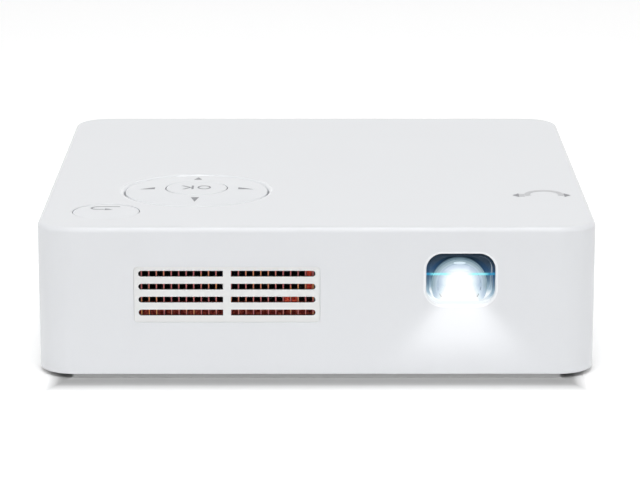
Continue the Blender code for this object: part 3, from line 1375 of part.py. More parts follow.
def make_engine_housing():
    """The optical engine's cast housing, with the sleeve that the barrel slides in."""
    engine = box(
        "engine_housing",
        (ENGINE_LEFT, ENGINE_FRONT, ENGINE_LOW),
        (ENGINE_RIGHT, ENGINE_BACK, ENGINE_TOP),
        ENGINE_BEVEL,
    )
    sleeve_front = FRONT + BEZEL_DEPTH + SEAT_GAP
    bore = BARREL_RADIUS + RUNNING_GAP
    centre_front = (LENS_X, sleeve_front, LENS_Z)
    join(engine, rod("lens_sleeve", centre_front, (LENS_X, ENGINE_FRONT + ENGINE_BEVEL + OVERLAP, LENS_Z),
                     bore + SLEEVE_WALL, MIDDLE_STEPS))
    bore_end = (LENS_X, ENGINE_FRONT + ENGINE_BORE_DEPTH, LENS_Z)
    cut(engine, rod("sleeve_bore", (LENS_X, sleeve_front - OVERRUN, LENS_Z), bore_end, bore, MIDDLE_STEPS))
    reach = PITCH_RADIUS * FOCUS_TRAVEL_ANGLE + RUNNING_GAP
    arm_y = BARREL_FRONT + ARM_SETBACK
    half_height = ARM_HEIGHT / 2 + RUNNING_GAP
    arm_slot = box(
        "arm_slot",
        (LENS_X, sleeve_front - OVERRUN, LENS_Z - half_height),
        (LENS_X + bore + SLEEVE_WALL + OVERRUN, arm_y + ARM_WIDTH / 2 + reach, LENS_Z + half_height),
    )
    cut(engine, arm_slot)
    for rib in range(ENGINE_RIBS):
        middle = ENGINE_FRONT + (ENGINE_BACK - ENGINE_FRONT) * (rib + 0.5) / ENGINE_RIBS
        low = (ENGINE_LEFT + ENGINE_BEVEL, middle - ENGINE_RIB_WIDTH / 2, ENGINE_TOP - OVERLAP)
        high = (ENGINE_RIGHT - ENGINE_BEVEL, middle + ENGINE_RIB_WIDTH / 2, ENGINE_TOP + ENGINE_RIB_HEIGHT)
        join(engine, box(f"engine_rib_{rib}", low, high))
    for name, y in led_places():
        mouth = (ENGINE_LEFT - OVERRUN, y, LED_Z)
        floor = (ENGINE_LEFT + LED_PORT_DEPTH, y, LED_Z)
        cut(engine, rod(f"led_port_{name}", mouth, floor, LED_DOME_RADIUS + SEAT_GAP))
    return engine


def led_places():
    """Name and Y of each LED module along the engine's left wall."""
    middle = (ENGINE_FRONT + ENGINE_BACK) / 2
    return [(name, middle + (index - 1) * LED_PITCH) for index, name in enumerate(("green", "red", "blue"))]


def make_led_module(name, y):
    """A square board with a domed emitter that looks into the engine."""
    half = LED_BOARD_SIDE / 2
    low = (LED_LEFT, y - half, LED_Z - half)
    high = (LED_RIGHT, y + half, LED_Z + half)
    module = box(f"led_module_{name}", low, high)
    arc = [QUARTER_TURN * step / LED_DOME_STEPS for step in range(LED_DOME_STEPS + 1)]
    profile = [(LED_DOME_RADIUS * math.sin(a), LED_DOME_RADIUS * math.cos(a)) for a in arc]
    profile += [(LED_DOME_RADIUS, -OVERLAP), (0, -OVERLAP)]
    place = Matrix.Translation((LED_RIGHT, y, LED_Z)) @ Matrix.Rotation(QUARTER_TURN, 4, "Y")
    join(module, turned(f"led_dome_{name}", profile, place, BOSS_STEPS))
    return module


def make_led_spreader():
    """The copper plate behind the three LED modules."""
    low = (SPREADER_LEFT, ENGINE_FRONT + SPREADER_MARGIN, ENGINE_LOW + SPREADER_MARGIN / 2)
    high = (SPREADER_RIGHT, ENGINE_BACK - SPREADER_MARGIN, ENGINE_TOP - SPREADER_MARGIN)
    return box("led_spreader", low, high, SEAT_GAP)


def make_heat_pipe():
    """The copper pipe from the spreader, round a bend and through the fins."""
    bend_x = PIPE_X - PIPE_BEND
    bend_y = PIPE_Y + PIPE_BEND
    points = [(PIPE_X, ENGINE_BACK - SPREADER_MARGIN * 2, PIPE_Z)]
    for step in range(PIPE_BEND_STEPS + 1):
        angle = -QUARTER_TURN * step / PIPE_BEND_STEPS
        points.append((bend_x + PIPE_BEND * math.cos(angle), bend_y + PIPE_BEND * math.sin(angle), PIPE_Z))
    points.append((FIRST_FIN_X - FIN_THICKNESS, PIPE_Y, PIPE_Z))
    return tube_along("heat_pipe", points, PIPE_RADIUS)


def make_led_heatsink():
    """A row of thin fins on a base, bored for the heat pipe."""
    back = FIN_FRONT + FIN_DEPTH
    half = FIN_THICKNESS / 2
    sink = box(
        "led_heatsink",
        (FIRST_FIN_X - half, FIN_FRONT, FIN_LOW),
        (LAST_FIN_X + half, back, FIN_LOW + FIN_BASE),
    )
    shape = bmesh.new()
    for fin in range(FIN_COUNT):
        x = FIRST_FIN_X + fin * FIN_PITCH
        low = Vector((x - half, FIN_FRONT, FIN_LOW + FIN_BASE - OVERLAP))
        high = Vector((x + half, back, FIN_TOP))
        place = Matrix.Translation((low + high) / 2) @ Matrix.Diagonal((*(high - low), 1))
        bmesh.ops.create_cube(shape, size=1, matrix=place)
    join(sink, from_bmesh("fins", shape))
    bore = rod(
        "pipe_bore",
        (FIRST_FIN_X - OVERRUN, PIPE_Y, PIPE_Z),
        (LAST_FIN_X + OVERRUN, PIPE_Y, PIPE_Z),
        PIPE_RADIUS + SEAT_GAP,
        HOLE_STEPS,
    )
    cut(sink, bore)
    return sink


def make_chip_board():
    """The board with the mirror chip, on the engine's back."""
    front = ENGINE_BACK + SEAT_GAP
    low = (ENGINE_LEFT + ENGINE_BEVEL, front, ENGINE_LOW + ENGINE_BEVEL)
    high = (ENGINE_RIGHT - ENGINE_BEVEL, front + CHIP_BOARD_THICKNESS, ENGINE_TOP - ENGINE_BEVEL)
    return box("chip_board", low, high)


def make_chip_heatsink():
    """The small finned heatsink on the chip board."""
    centre_x = (ENGINE_LEFT + ENGINE_RIGHT) / 2
    half = CHIP_SINK_SIDE / 2
    low_z = LED_Z - half
    high_z = LED_Z + half
    back = CHIP_SINK_FRONT + CHIP_SINK_BASE
    sink = box("chip_heatsink", (centre_x - half, CHIP_SINK_FRONT, low_z), (centre_x + half, back, high_z))
    pitch = (CHIP_SINK_SIDE - CHIP_SINK_FIN) / (CHIP_SINK_FINS - 1)
    for fin in range(CHIP_SINK_FINS):
        x = centre_x - half + fin * pitch
        low = (x, back - OVERLAP, low_z)
        join(sink, box(f"chip_fin_{fin}", low, (x + CHIP_SINK_FIN, CHIP_SINK_BACK, high_z)))
    return sink


def fan_point(along, around=0.0, radius=0.0):
    """A point in the fan, from its place along the axis and its polar place round it."""
    return (FAN_X + along, FAN_Y + radius * math.cos(around), FAN_Z + radius * math.sin(around))


def make_fan_frame():
    """The square fan frame, with a round duct and a plate on four struts for the motor."""
    half = FAN_DEPTH / 2
    outer = rounded_rectangle((FAN_Y, FAN_Z), FAN_SIDE, FAN_SIDE, FAN_CORNER)
    duct = circle((FAN_Y, FAN_Z), FAN_BORE_RADIUS, MIDDLE_STEPS)
    frame = prism("fan_frame", [outer, duct], FAN_X - half, FAN_X + half, YZ_PLANE)
    hub = circle((FAN_Y, FAN_Z), FAN_HUB_RADIUS)
    join(frame, prism("motor_plate", [hub], FAN_X - half, FAN_X - half + FAN_PLATE, YZ_PLANE))
    for strut in range(FAN_STRUTS):
        angle = 2 * math.pi * (strut + 0.5) / FAN_STRUTS
        along = Vector((math.cos(angle), math.sin(angle)))
        across = Vector((-along.y, along.x)) * FAN_STRUT_WIDTH / 2
        near = Vector((FAN_Y, FAN_Z)) + along * (FAN_HUB_RADIUS - OVERLAP * 2)
        far = Vector((FAN_Y, FAN_Z)) + along * (FAN_BORE_RADIUS + OVERLAP * 2)
        outline = [tuple(near - across), tuple(far - across), tuple(far + across), tuple(near + across)]
        low = FAN_X - half + OVERLAP / 2
        join(frame, prism(f"fan_strut_{strut}", [outline], low, low + FAN_PLATE - OVERLAP, YZ_PLANE))
    reach = FAN_SIDE / 2 - FAN_SCREW_HOLE_INSET
    holes = [circle((FAN_Y + y * reach, FAN_Z + z * reach), FAN_SCREW_HOLE_RADIUS, HOLE_STEPS)
             for y in (-1, 1) for z in (-1, 1)]
    cut(frame, prism("fan_screw_holes", holes, FAN_X - half - OVERRUN, FAN_X + half + OVERRUN, YZ_PLANE))
    shaft_hole = rod("fan_bearing", fan_point(-half - OVERRUN), fan_point(-half + FAN_PLATE + OVERRUN),
                     FAN_SHAFT_RADIUS + RUNNING_GAP, ROUND_STEPS)
    cut(frame, shaft_hole)
    return frame


def blade_outline():
    """Section of a fan blade: a cambered strip at the blade's pitch."""
    edges = {1: [], -1: []}
    for step in range(FAN_BLADE_STEPS + 1):
        share = 2 * step / FAN_BLADE_STEPS - 1
        run = share * FAN_BLADE_CHORD / 2
        rise = FAN_BLADE_CAMBER * (1 - share * share)
        for side, edge in edges.items():
            height = rise + side * FAN_BLADE_THICKNESS / 2
            edge.append((
                run * math.cos(FAN_BLADE_PITCH) - height * math.sin(FAN_BLADE_PITCH),
                run * math.sin(FAN_BLADE_PITCH) + height * math.cos(FAN_BLADE_PITCH),
            ))
    return edges[1] + edges[-1][::-1]


def make_fan_rotor():
    """The hub, its seven cambered blades and the stub shaft in the motor plate."""
    half = FAN_DEPTH / 2
    start = -half + FAN_PLATE + SEAT_GAP
    end = start + FAN_ROTOR_LENGTH
    profile = [
        (0, end),
        (FAN_HUB_RADIUS - FAN_HUB_BEVEL, end),
        (FAN_HUB_RADIUS, end - FAN_HUB_BEVEL),
        (FAN_HUB_RADIUS, start),
        (FAN_SHAFT_RADIUS, start),
        (FAN_SHAFT_RADIUS, -half + SEAT_GAP),
        (0, -half + SEAT_GAP),
    ]
    axis = Matrix.Translation((FAN_X, FAN_Y, FAN_Z)) @ Matrix.Rotation(QUARTER_TURN, 4, "Y")
    rotor = turned("fan_rotor", profile, axis, MIDDLE_STEPS)
    outline = blade_outline()
    blade_middle = (start + end) / 2
    for blade in range(FAN_BLADES):
        angle = 2 * math.pi * blade / FAN_BLADES
        frame = Matrix((
            (0, 1, 0, FAN_X + blade_middle),
            (-math.sin(angle), 0, math.cos(angle), FAN_Y),
            (math.cos(angle), 0, math.sin(angle), FAN_Z),
            (0, 0, 0, 1),
        ))
        root = FAN_HUB_RADIUS * FAN_BLADE_ROOT_SHARE
        join(rotor, prism(f"fan_blade_{blade}", [outline], root, FAN_BORE_RADIUS - FAN_TIP_GAP, frame))
    return rotor


def knurled_outline(centre, radius):
    """A circle with fine grip ridges."""
    points = []
    for ridge in range(FOCUS_KNURLS):
        for along, depth in KNURL_SHARES:
            angle = 2 * math.pi * (ridge + along) / FOCUS_KNURLS
            length = radius - depth * FOCUS_KNURL_DEPTH
            points.append((centre[0] + length * math.cos(angle), centre[1] + length * math.sin(angle)))
    return points


def make_focus_wheel():
    """The knurled wheel with its hub and pinion."""
    centre = (FOCUS_X, FOCUS_Y)
    rim = knurled_outline(centre, FOCUS_WHEEL_RADIUS)
    wheel = prism("focus_wheel", [rim], FOCUS_WHEEL_LOW, FOCUS_WHEEL_TOP)
    dish = circle(centre, FOCUS_WHEEL_RADIUS - FOCUS_DISH_RIM, MIDDLE_STEPS)
    hub = circle(centre, FOCUS_HUB_RADIUS + FOCUS_DISH_HUB)
    floor = FOCUS_WHEEL_TOP - FOCUS_DISH_DEPTH
    cut(wheel, prism("wheel_dish", [dish, hub], floor, FOCUS_WHEEL_TOP + OVERRUN))
    join(wheel, prism("pinion", [gear_outline(centre)], PINION_LOW, PINION_LOW + PINION_HEIGHT))
    low = BRACKET_TOP + SEAT_GAP
    join(wheel, rod("wheel_hub", (*centre, low), (*centre, FOCUS_WHEEL_LOW + OVERLAP), FOCUS_HUB_RADIUS))
    bore = rod("wheel_bore", (*centre, low - OVERRUN), (*centre, FOCUS_WHEEL_TOP + OVERRUN),
               AXLE_RADIUS + RUNNING_GAP)
    cut(wheel, bore)
    return wheel


def make_focus_axle():
    """The pin that the wheel turns on, headed above the wheel."""
    low = BRACKET_TOP - BRACKET_THICKNESS
    head_low = FOCUS_WHEEL_TOP + SEAT_GAP
    top = head_low + AXLE_HEAD_HEIGHT
    profile = [
        (0, top),
        (AXLE_HEAD_RADIUS, top),
        (AXLE_HEAD_RADIUS, head_low),
        (AXLE_RADIUS, head_low),
        (AXLE_RADIUS, low),
        (0, low),
    ]
    return turned("focus_axle", profile, Matrix.Translation((FOCUS_X, FOCUS_Y, 0)))


def make_focus_bracket():
    """The bracket on the engine's side that holds the axle."""
    left = ENGINE_RIGHT + SEAT_GAP
    right = FOCUS_X + AXLE_HEAD_RADIUS + BRACKET_WEB / 2
    half = BRACKET_DEPTH / 2
    low = BRACKET_TOP - BRACKET_THICKNESS
    bracket = box("focus_bracket", (left, FOCUS_Y - half, low), (right, FOCUS_Y + half, BRACKET_TOP))
    web = box(
        "bracket_web",
        (left, FOCUS_Y - half, low - BRACKET_WEB_HEIGHT),
        (left + BRACKET_WEB, FOCUS_Y + half, low + OVERLAP),
    )
    join(bracket, web)
    hole = rod("axle_hole", (FOCUS_X, FOCUS_Y, low - OVERRUN), (FOCUS_X, FOCUS_Y, BRACKET_TOP + OVERRUN),
               AXLE_RADIUS + SEAT_GAP)
    cut(bracket, hole)
    return bracket


def make_main_board():
    """The main board on its four posts."""
    centre = (0, (BOARD_FRONT + BOARD_BACK) / 2)
    outline = rounded_rectangle(centre, 2 * BOARD_HALF_WIDTH, BOARD_BACK - BOARD_FRONT, BOARD_CORNER)
    holes = [circle(place, SCREW_RADIUS + SEAT_GAP, HOLE_STEPS) for place in board_post_places()]
    return prism("main_board", [outline, *holes], BOARD_LOW, BOARD_TOP)


def make_hdmi_port():
    """The HDMI receptacle: a drawn-in shell with a thin tongue."""
    low = PORT_FACE - HDMI_LENGTH
    port = prism("hdmi_port", [hdmi_outline(0)], low, PORT_FACE, XZ_PLANE)
    mouth = hdmi_outline(-SHELL_WALL)
    cut(port, prism("hdmi_mouth", [mouth], low + SOCKET_FLOOR, PORT_FACE + OVERRUN, XZ_PLANE))
    middle = port_z(HDMI_HEIGHT)
    tongue = rectangle((HDMI_X, middle), HDMI_WIDTH - 2 * TONGUE_MARGIN, HDMI_TONGUE)
    tongue_low = low + SOCKET_FLOOR - OVERLAP
    join(port, prism("hdmi_tongue", [tongue], tongue_low, PORT_FACE - SOCKET_FLOOR, XZ_PLANE))
    return port


def make_usb_port():
    """The USB receptacle: a square shell with a thick tongue."""
    low = PORT_FACE - USB_LENGTH
    middle = (USB_X, port_z(USB_HEIGHT))
    shell = rounded_rectangle(middle, USB_WIDTH, USB_HEIGHT, SHELL_WALL, SMALL_CORNER_STEPS)
    port = prism("usb_port", [shell], low, PORT_FACE, XZ_PLANE)
    mouth = rectangle(middle, USB_WIDTH - 2 * SHELL_WALL, USB_HEIGHT - 2 * SHELL_WALL)
    cut(port, prism("usb_mouth", [mouth], low + SOCKET_FLOOR, PORT_FACE + OVERRUN, XZ_PLANE))
    tongue_middle = (USB_X, middle[1] + USB_TONGUE / 2)
    tongue = rectangle(tongue_middle, USB_WIDTH - TONGUE_MARGIN, USB_TONGUE)
    tongue_low = low + SOCKET_FLOOR - OVERLAP
    join(port, prism("usb_tongue", [tongue], tongue_low, PORT_FACE - SOCKET_FLOOR, XZ_PLANE))
    return port


def make_round_socket(name, x, size, collar_radius, bore_radius):
    """A block socket on the board with a round collar through the wall."""
    width, height, length = size
    body_back = INNER_BACK - SOCKET_BODY_BACK
    middle = port_z(height)
    low = (x - width / 2, PORT_FACE - length, PORT_LOW)
    socket = box(name, low, (x + width / 2, body_back, PORT_LOW + height))
    collar_start = (x, body_back - OVERLAP, middle)
    join(socket, rod(name + "_collar", collar_start, (x, PORT_FACE, middle), collar_radius))
    bore_start = PORT_FACE - length + SOCKET_FLOOR
    bore_end = (x, PORT_FACE + OVERRUN, middle)
    cut(socket, rod(name + "_bore", (x, bore_start, middle), bore_end, bore_radius))
    return socket


def make_dc_jack():
    """The round power inlet with its centre pin."""
    size = (DC_WIDTH, DC_HEIGHT, DC_LENGTH)
    jack = make_round_socket("dc_jack", DC_X, size, DC_COLLAR_RADIUS, DC_BORE_RADIUS)
    middle = port_z(DC_HEIGHT)
    pin_start = PORT_FACE - DC_LENGTH + SOCKET_FLOOR - OVERLAP
    pin_end = PORT_FACE - SOCKET_FLOOR
    join(jack, rod("dc_pin", (DC_X, pin_start, middle), (DC_X, pin_end, middle), DC_PIN_RADIUS, HOLE_STEPS))
    return jack


def make_audio_jack():
    """The headphone socket."""
    size = (AUDIO_WIDTH, AUDIO_HEIGHT, AUDIO_LENGTH)
    return make_round_socket("audio_jack", AUDIO_X, size, AUDIO_COLLAR_RADIUS, AUDIO_BORE_RADIUS)


def make_power_switch_body():
    """The slide switch's case on the board, open towards the knob."""
    knob_back = INNER_BACK - SEAT_GAP - POWER_FLANGE_THICKNESS
    high_y = knob_back - SEAT_GAP
    middle = POWER_X + POWER_TRAVEL / 2
    half = POWER_BODY_WIDTH / 2
    low = (middle - half, high_y - POWER_BODY_LENGTH, PORT_LOW)
    body = box("power_switch_body", low, (middle + half, high_y, PORT_LOW + POWER_BODY_HEIGHT))
    slot_half = (POWER_STALK_WIDTH + POWER_TRAVEL) / 2 + RUNNING_GAP
    stalk_half = POWER_KNOB_HEIGHT / 2 + RUNNING_GAP
    slot = box(
        "stalk_slot",
        (middle - slot_half, high_y - POWER_STALK_LENGTH - SEAT_GAP, POWER_Z - stalk_half),
        (middle + slot_half, high_y + OVERRUN, POWER_Z + stalk_half),
    )
    cut(body, slot)
    return body


def make_power_switch_knob():
    """The ribbed knob with its flange behind the wall and the stalk that works the switch."""
    flange_high = INNER_BACK - SEAT_GAP
    flange_low = flange_high - POWER_FLANGE_THICKNESS
    half = POWER_KNOB_WIDTH / 2
    half_height = POWER_KNOB_HEIGHT / 2
    knob = box(
        "power_switch_knob",
        (POWER_X - half, flange_high - OVERLAP, POWER_Z - half_height),
        (POWER_X + half, BACK - POWER_KNOB_SINK, POWER_Z + half_height),
    )
    flange_half = half + POWER_FLANGE_MARGIN
    flange_half_height = half_height + POWER_FLANGE_RISE
    flange = box(
        "knob_flange",
        (POWER_X - flange_half, flange_low, POWER_Z - flange_half_height),
        (POWER_X + flange_half, flange_high, POWER_Z + flange_half_height),
    )
    join(knob, flange)
    stalk = POWER_STALK_WIDTH / 2
    join(knob, box(
        "knob_stalk",
        (POWER_X - stalk, flange_low - POWER_STALK_LENGTH, POWER_Z - half_height),
        (POWER_X + stalk, flange_low + OVERLAP, POWER_Z + half_height),
    ))
    pitch = POWER_KNOB_WIDTH / (POWER_RIBS + 1)
    for rib in range(POWER_RIBS):
        x = POWER_X - half + (rib + 1) * pitch
        low = (x - pitch / 4, BACK - POWER_KNOB_SINK - POWER_RIB_DEPTH, POWER_Z - half_height - OVERRUN)
        high = (x + pitch / 4, BACK + OVERRUN, POWER_Z + half_height + OVERRUN)
        cut(knob, box(f"knob_groove_{rib}", low, high))
    return knob


def make_battery_pack():
    """The flat battery pack on the bottom cover, from the insert's boss back under the main board."""
    low = (-BATTERY_WIDTH / 2, BATTERY_FRONT, FLOOR + SEAT_GAP)
    high = (BATTERY_WIDTH / 2, BOARD_BACK - BATTERY_BACK_INSET, FLOOR + SEAT_GAP + BATTERY_HEIGHT)
    return box("battery_pack", low, high, BATTERY_BEVEL)


def make_speaker():
    """A small speaker behind the holes in the right wall: rim, dished cone, cap and magnet."""
    front = INNER_RIGHT - SEAT_GAP
    place = Matrix.Translation((front, SPEAKER_Y, SPEAKER_Z)) @ Matrix.Rotation(QUARTER_TURN, 4, "Y")
    profile = [(SPEAKER_CAP_RADIUS * reach, -SPEAKER_DISH * depth) for reach, depth in SPEAKER_CAP_SHARES]
    profile += [
        (SPEAKER_RADIUS - SPEAKER_RIM, -SPEAKER_DISH * SPEAKER_EDGE_SHARE),
        (SPEAKER_RADIUS - SPEAKER_RIM, 0),
        (SPEAKER_RADIUS, 0),
        (SPEAKER_RADIUS, -SPEAKER_DISH - SPEAKER_PLATE),
        (SPEAKER_MAGNET_RADIUS, -SPEAKER_DISH - SPEAKER_PLATE),
        (SPEAKER_MAGNET_RADIUS, -SPEAKER_DEPTH),
        (0, -SPEAKER_DEPTH),
    ]
    return turned("speaker", profile, place, MIDDLE_STEPS)


def material(name):
    """A Principled material, made the first time that it is asked for."""
    if name in bpy.data.materials:
        return bpy.data.materials[name]
    colour, roughness, metallic = MATERIALS[name]
    made = bpy.data.materials.new(name)
    made.use_nodes = True
    shader = made.node_tree.nodes["Principled BSDF"]
    shader.inputs["Base Color"].default_value = (*colour, 1)
    shader.inputs["Roughness"].default_value = roughness
    shader.inputs["Metallic"].default_value = metallic
    return made


def finish(piece, material_name, joint=None):
    """Give a piece its material and hang it on its joint's empty."""
    piece.data.materials.clear()
    piece.data.materials.append(material(material_name))
    if joint:
        piece.parent = joint
        piece.matrix_parent_inverse = joint.matrix_world.inverted()


def joint_empty(name, place, parent=None):
    """An empty on a joint's axis."""
    empty = bpy.data.objects.new(name, None)
    empty.empty_display_size = OK_RADIUS
    empty.location = place
    PARTS.objects.link(empty)
    bpy.context.view_layer.update()
    if parent:
        empty.parent = parent
        empty.matrix_parent_inverse = parent.matrix_world.inverted()
        bpy.context.view_layer.update()
    return empty


def make_case():
    """The shell, its fasteners, feet and windows."""
    finish(make_top_cover(), "white_shell")
    finish(make_bottom_cover(), "white_shell")
    finish(make_vent_grille(), "white_shell")
    finish(make_lens_bezel(), "black_plastic")
    finish(make_ir_window(), "dark_window")
    finish(make_tripod_insert(), "brass")
    for number, (x, y) in enumerate(corner_places(FOOT_INSET), 1):
        finish(make_foot(number, x, y), "rubber")
    for number, (x, y) in enumerate(corner_places(BOSS_INSET), 1):
        finish(make_case_screw(number, x, y), "steel")


def make_keys():
    """The key ring and buttons, and the keypad below them."""
    pitch_axis = joint_empty("dpad_pitch_axis", (PAD_X, PAD_Y, GIMBAL_Z))
    roll_axis = joint_empty("dpad_roll_axis", (PAD_X, PAD_Y, GIMBAL_Z), pitch_axis)
    finish(make_gimbal_ring(), "grey_plastic", pitch_axis)
    finish(make_dpad_ring(), "white_key", roll_axis)
    finish(make_ok_button(), "white_key", joint_empty("ok_axis", (PAD_X, PAD_Y, PAD_TOP)))
    finish(make_back_button(), "white_key", joint_empty("back_axis", (BACK_X, BACK_Y, CASE_TOP)))
    finish(make_keypad_collar(), "grey_plastic")
    finish(make_keypad_board(), "circuit_board")
    for name, x, y in switch_places():
        finish(make_tact_switch(name, x, y), "steel")
    finish(make_keypad_ribbon(), "ribbon")


def make_optics():
    """The engine, its light sources and cooling, and the focusing lens."""
    focus_axis = joint_empty("focus_axis", (FOCUS_X, FOCUS_Y, FOCUS_WHEEL_LOW))
    slide_axis = joint_empty("focus_slide_axis", (LENS_X, BARREL_FRONT, LENS_Z))
    finish(make_engine_housing(), "aluminium")
    finish(make_focus_wheel(), "black_plastic", focus_axis)
    finish(make_focus_axle(), "steel")
    finish(make_focus_bracket(), "grey_plastic")
    finish(make_focus_barrel(), "black_plastic", slide_axis)
    lens_radius = BARREL_RADIUS - BARREL_WALL - SEAT_GAP
    front_edge = BARREL_FRONT + BARREL_LIP + SEAT_GAP
    front_lens = make_lens("lens_front_element", front_edge, FRONT_LENS_EDGE, lens_radius,
                           FRONT_LENS_BULGE, REAR_LENS_BULGE)
    finish(front_lens, "glass", slide_axis)
    rear_edge = BARREL_BACK - BARREL_LIP - SEAT_GAP - REAR_LENS_EDGE
    rear_lens = make_lens("lens_rear_element", rear_edge, REAR_LENS_EDGE, lens_radius,
                          REAR_LENS_BULGE, REAR_LENS_BULGE / 2)
    finish(rear_lens, "glass", slide_axis)
    for name, y in led_places():
        finish(make_led_module(name, y), "led_" + name)
    finish(make_led_spreader(), "copper")
    finish(make_heat_pipe(), "copper")
    finish(make_led_heatsink(), "copper")
    finish(make_chip_board(), "circuit_board")
    finish(make_chip_heatsink(), "aluminium")


def make_fan():
    """The fan at the left wall."""
    fan_axis = joint_empty("fan_axis", (FAN_X, FAN_Y, FAN_Z))
    finish(make_fan_frame(), "black_plastic")
    finish(make_fan_rotor(), "black_plastic", fan_axis)


def make_electronics():
    """The main board, what stands on it, the battery and the speaker."""
    knob_axis = joint_empty("power_axis", (POWER_X, BACK, POWER_Z))
    finish(make_main_board(), "circuit_board")
    for number, (x, y) in enumerate(board_post_places(), 1):
        finish(make_screw(f"board_screw_{number}", x, y, BOARD_SCREW_HEAD, BOARD_SCREW_LENGTH, -1), "steel")
    finish(make_hdmi_port(), "steel")
    finish(make_usb_port(), "steel")
    finish(make_dc_jack(), "black_plastic")
    finish(make_audio_jack(), "black_plastic")
    finish(make_power_switch_body(), "steel")
    finish(make_power_switch_knob(), "black_plastic", knob_axis)
    finish(make_battery_pack(), "battery_wrap")
    finish(make_speaker(), "black_plastic")


make_case()
make_keys()
make_optics()
make_fan()
make_electronics()
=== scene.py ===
import math

import bmesh
import bpy
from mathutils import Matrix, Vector


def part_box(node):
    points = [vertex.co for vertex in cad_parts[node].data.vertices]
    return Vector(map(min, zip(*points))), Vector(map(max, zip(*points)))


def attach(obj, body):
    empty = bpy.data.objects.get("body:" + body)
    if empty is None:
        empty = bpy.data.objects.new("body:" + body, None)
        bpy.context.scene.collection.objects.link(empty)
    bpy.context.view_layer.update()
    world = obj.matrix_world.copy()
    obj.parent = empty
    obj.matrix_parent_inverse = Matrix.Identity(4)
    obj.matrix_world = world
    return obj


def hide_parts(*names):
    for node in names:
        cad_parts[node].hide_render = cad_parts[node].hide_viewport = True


bl_info = {
    "name": "Pocket LED projector",
    "version": (1, 0, 0),
    "blender": (4, 5, 0),
    "location": "View3D > Sidebar > Projector",
    "description": "The visible pieces and finishes of a pocket LED projector, built on its CAD frame",
    "category": "Object",
}

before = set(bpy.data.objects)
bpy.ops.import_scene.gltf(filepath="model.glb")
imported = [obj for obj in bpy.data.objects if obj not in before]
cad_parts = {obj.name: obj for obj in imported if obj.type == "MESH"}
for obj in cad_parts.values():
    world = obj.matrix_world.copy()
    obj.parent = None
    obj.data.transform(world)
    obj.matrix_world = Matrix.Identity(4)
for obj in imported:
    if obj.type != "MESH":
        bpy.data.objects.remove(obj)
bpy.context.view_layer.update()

MM = 0.001
DEGREE = math.pi / 180
CLOSE = 0.002 * MM
FULL_TURN = 2 * math.pi
SHARP = 32 * DEGREE
AXES = {"X": Vector((1, 0, 0)), "Y": Vector((0, 1, 0)), "Z": Vector((0, 0, 1))}


def middle_of(node):
    """The middle of a CAD node's box."""
    low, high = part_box(node)
    return (low + high) / 2


CASE_LOW, CASE_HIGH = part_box("top_cover")
FRONT = CASE_LOW.y
BACK = CASE_HIGH.y
TOP = CASE_HIGH.z
VENT = middle_of("vent_grille")
LENS = middle_of("lens_front_element")
PAD = middle_of("ok_button")
PAD_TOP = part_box("dpad_ring")[1].z
BACK_KEY = middle_of("back_button")
BACK_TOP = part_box("back_button")[1].z
WHEEL = middle_of("focus_wheel")
WHEEL_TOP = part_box("focus_wheel")[1].z
FAN = middle_of("fan_frame")
SPEAKER = middle_of("speaker")
FINS_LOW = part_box("led_heatsink")[0]
FIN_PITCH = 2 * MM
FIN_THICKNESS = 0.5 * MM
# Outer radius of each round socket's collar, and the radius of its bore
ROUND_SOCKETS = {"dc_jack": (4 * MM, 3.1 * MM), "audio_jack": (2.8 * MM, 1.8 * MM)}
# How far a cutting tool reaches past what it cuts
OVERRUN = 1 * MM
HEAD_ON = Vector((1, 0, 1))


# Sizes and colours that a user would change

def amount(default, label, **settings):
    """A number in the sidebar."""
    return bpy.props.FloatProperty(name=label, default=default, **settings)


def length(default, label):
    """A length in the sidebar, given in millimetres."""
    return amount(default * MM, label, min=0, precision=5, unit="LENGTH")


def tint(default, label):
    """A colour in the sidebar."""
    return bpy.props.FloatVectorProperty(
        name=label, default=default, min=0, max=1, size=3, subtype="COLOR"
    )


def window_middle(lens, level):
    """The middle of the lens window, at a level of Y."""
    return Vector((LENS.x + lens.shift, level, LENS.z + lens.rise))


class CaseSizes(bpy.types.PropertyGroup):
    """Sizes of the case and of the holes in it."""

    corner: length(10, "Radius of the upright corners")
    fillet: length(1.4, "Radius between the top and the sides")
    rim: length(0.4, "Rounding of the lower rim")
    wall: length(1.8, "Thickness of the side walls")
    top_wall: length(2, "Thickness of the top")
    hole_edge: length(0.2, "Rounding of the edges of the openings")
    gap: length(0.3, "Gap round a piece that fills an opening")
    speaker_hole: length(1, "Radius of one hole in front of the speaker")
    speaker_pitch: length(4.2, "Distance between the rings of speaker holes")


class VentSizes(bpy.types.PropertyGroup):
    """Sizes of the vents."""

    width: length(49.7, "Width of the front insert")
    height: length(15.2, "Height of the front insert")
    recess: length(0.3, "How far the insert lies behind the front")
    gap: length(0.02, "Gap round the insert")
    web: length(0.9, "Thickness of the insert between its slots")
    pitch: length(3.57, "Distance from one row of slots to the next")
    rise: length(0.4, "How far the rows lie above the insert's middle")
    slot_height: length(1.6, "Height of one slot")
    slot_length: length(22.6, "Length of a slot in the front")
    side_length: length(15, "Length of a slot beside the fan")
    post: length(2.1, "Width of the post between the slots")


class LensSizes(bpy.types.PropertyGroup):
    """Sizes of the lens window, its funnel and the lens."""

    width: length(17.8, "Width of the window in the front")
    height: length(13.3, "Height of the window in the front")
    corner: length(4, "Corner radius of the window")
    chamfer: length(0.7, "Rounded edge round the window")
    recess: length(0.7, "How far the funnel's lip lies behind the front")
    shift: length(0.1, "How far the window lies to the right of the lens")
    rise: length(3.1, "How far the window lies above the lens")
    barrel: length(7.5, "Radius of the lens barrel")
    glass: length(6.7, "Radius of the front lens")
    lip: length(5.9, "Inner radius of the ring on the barrel")


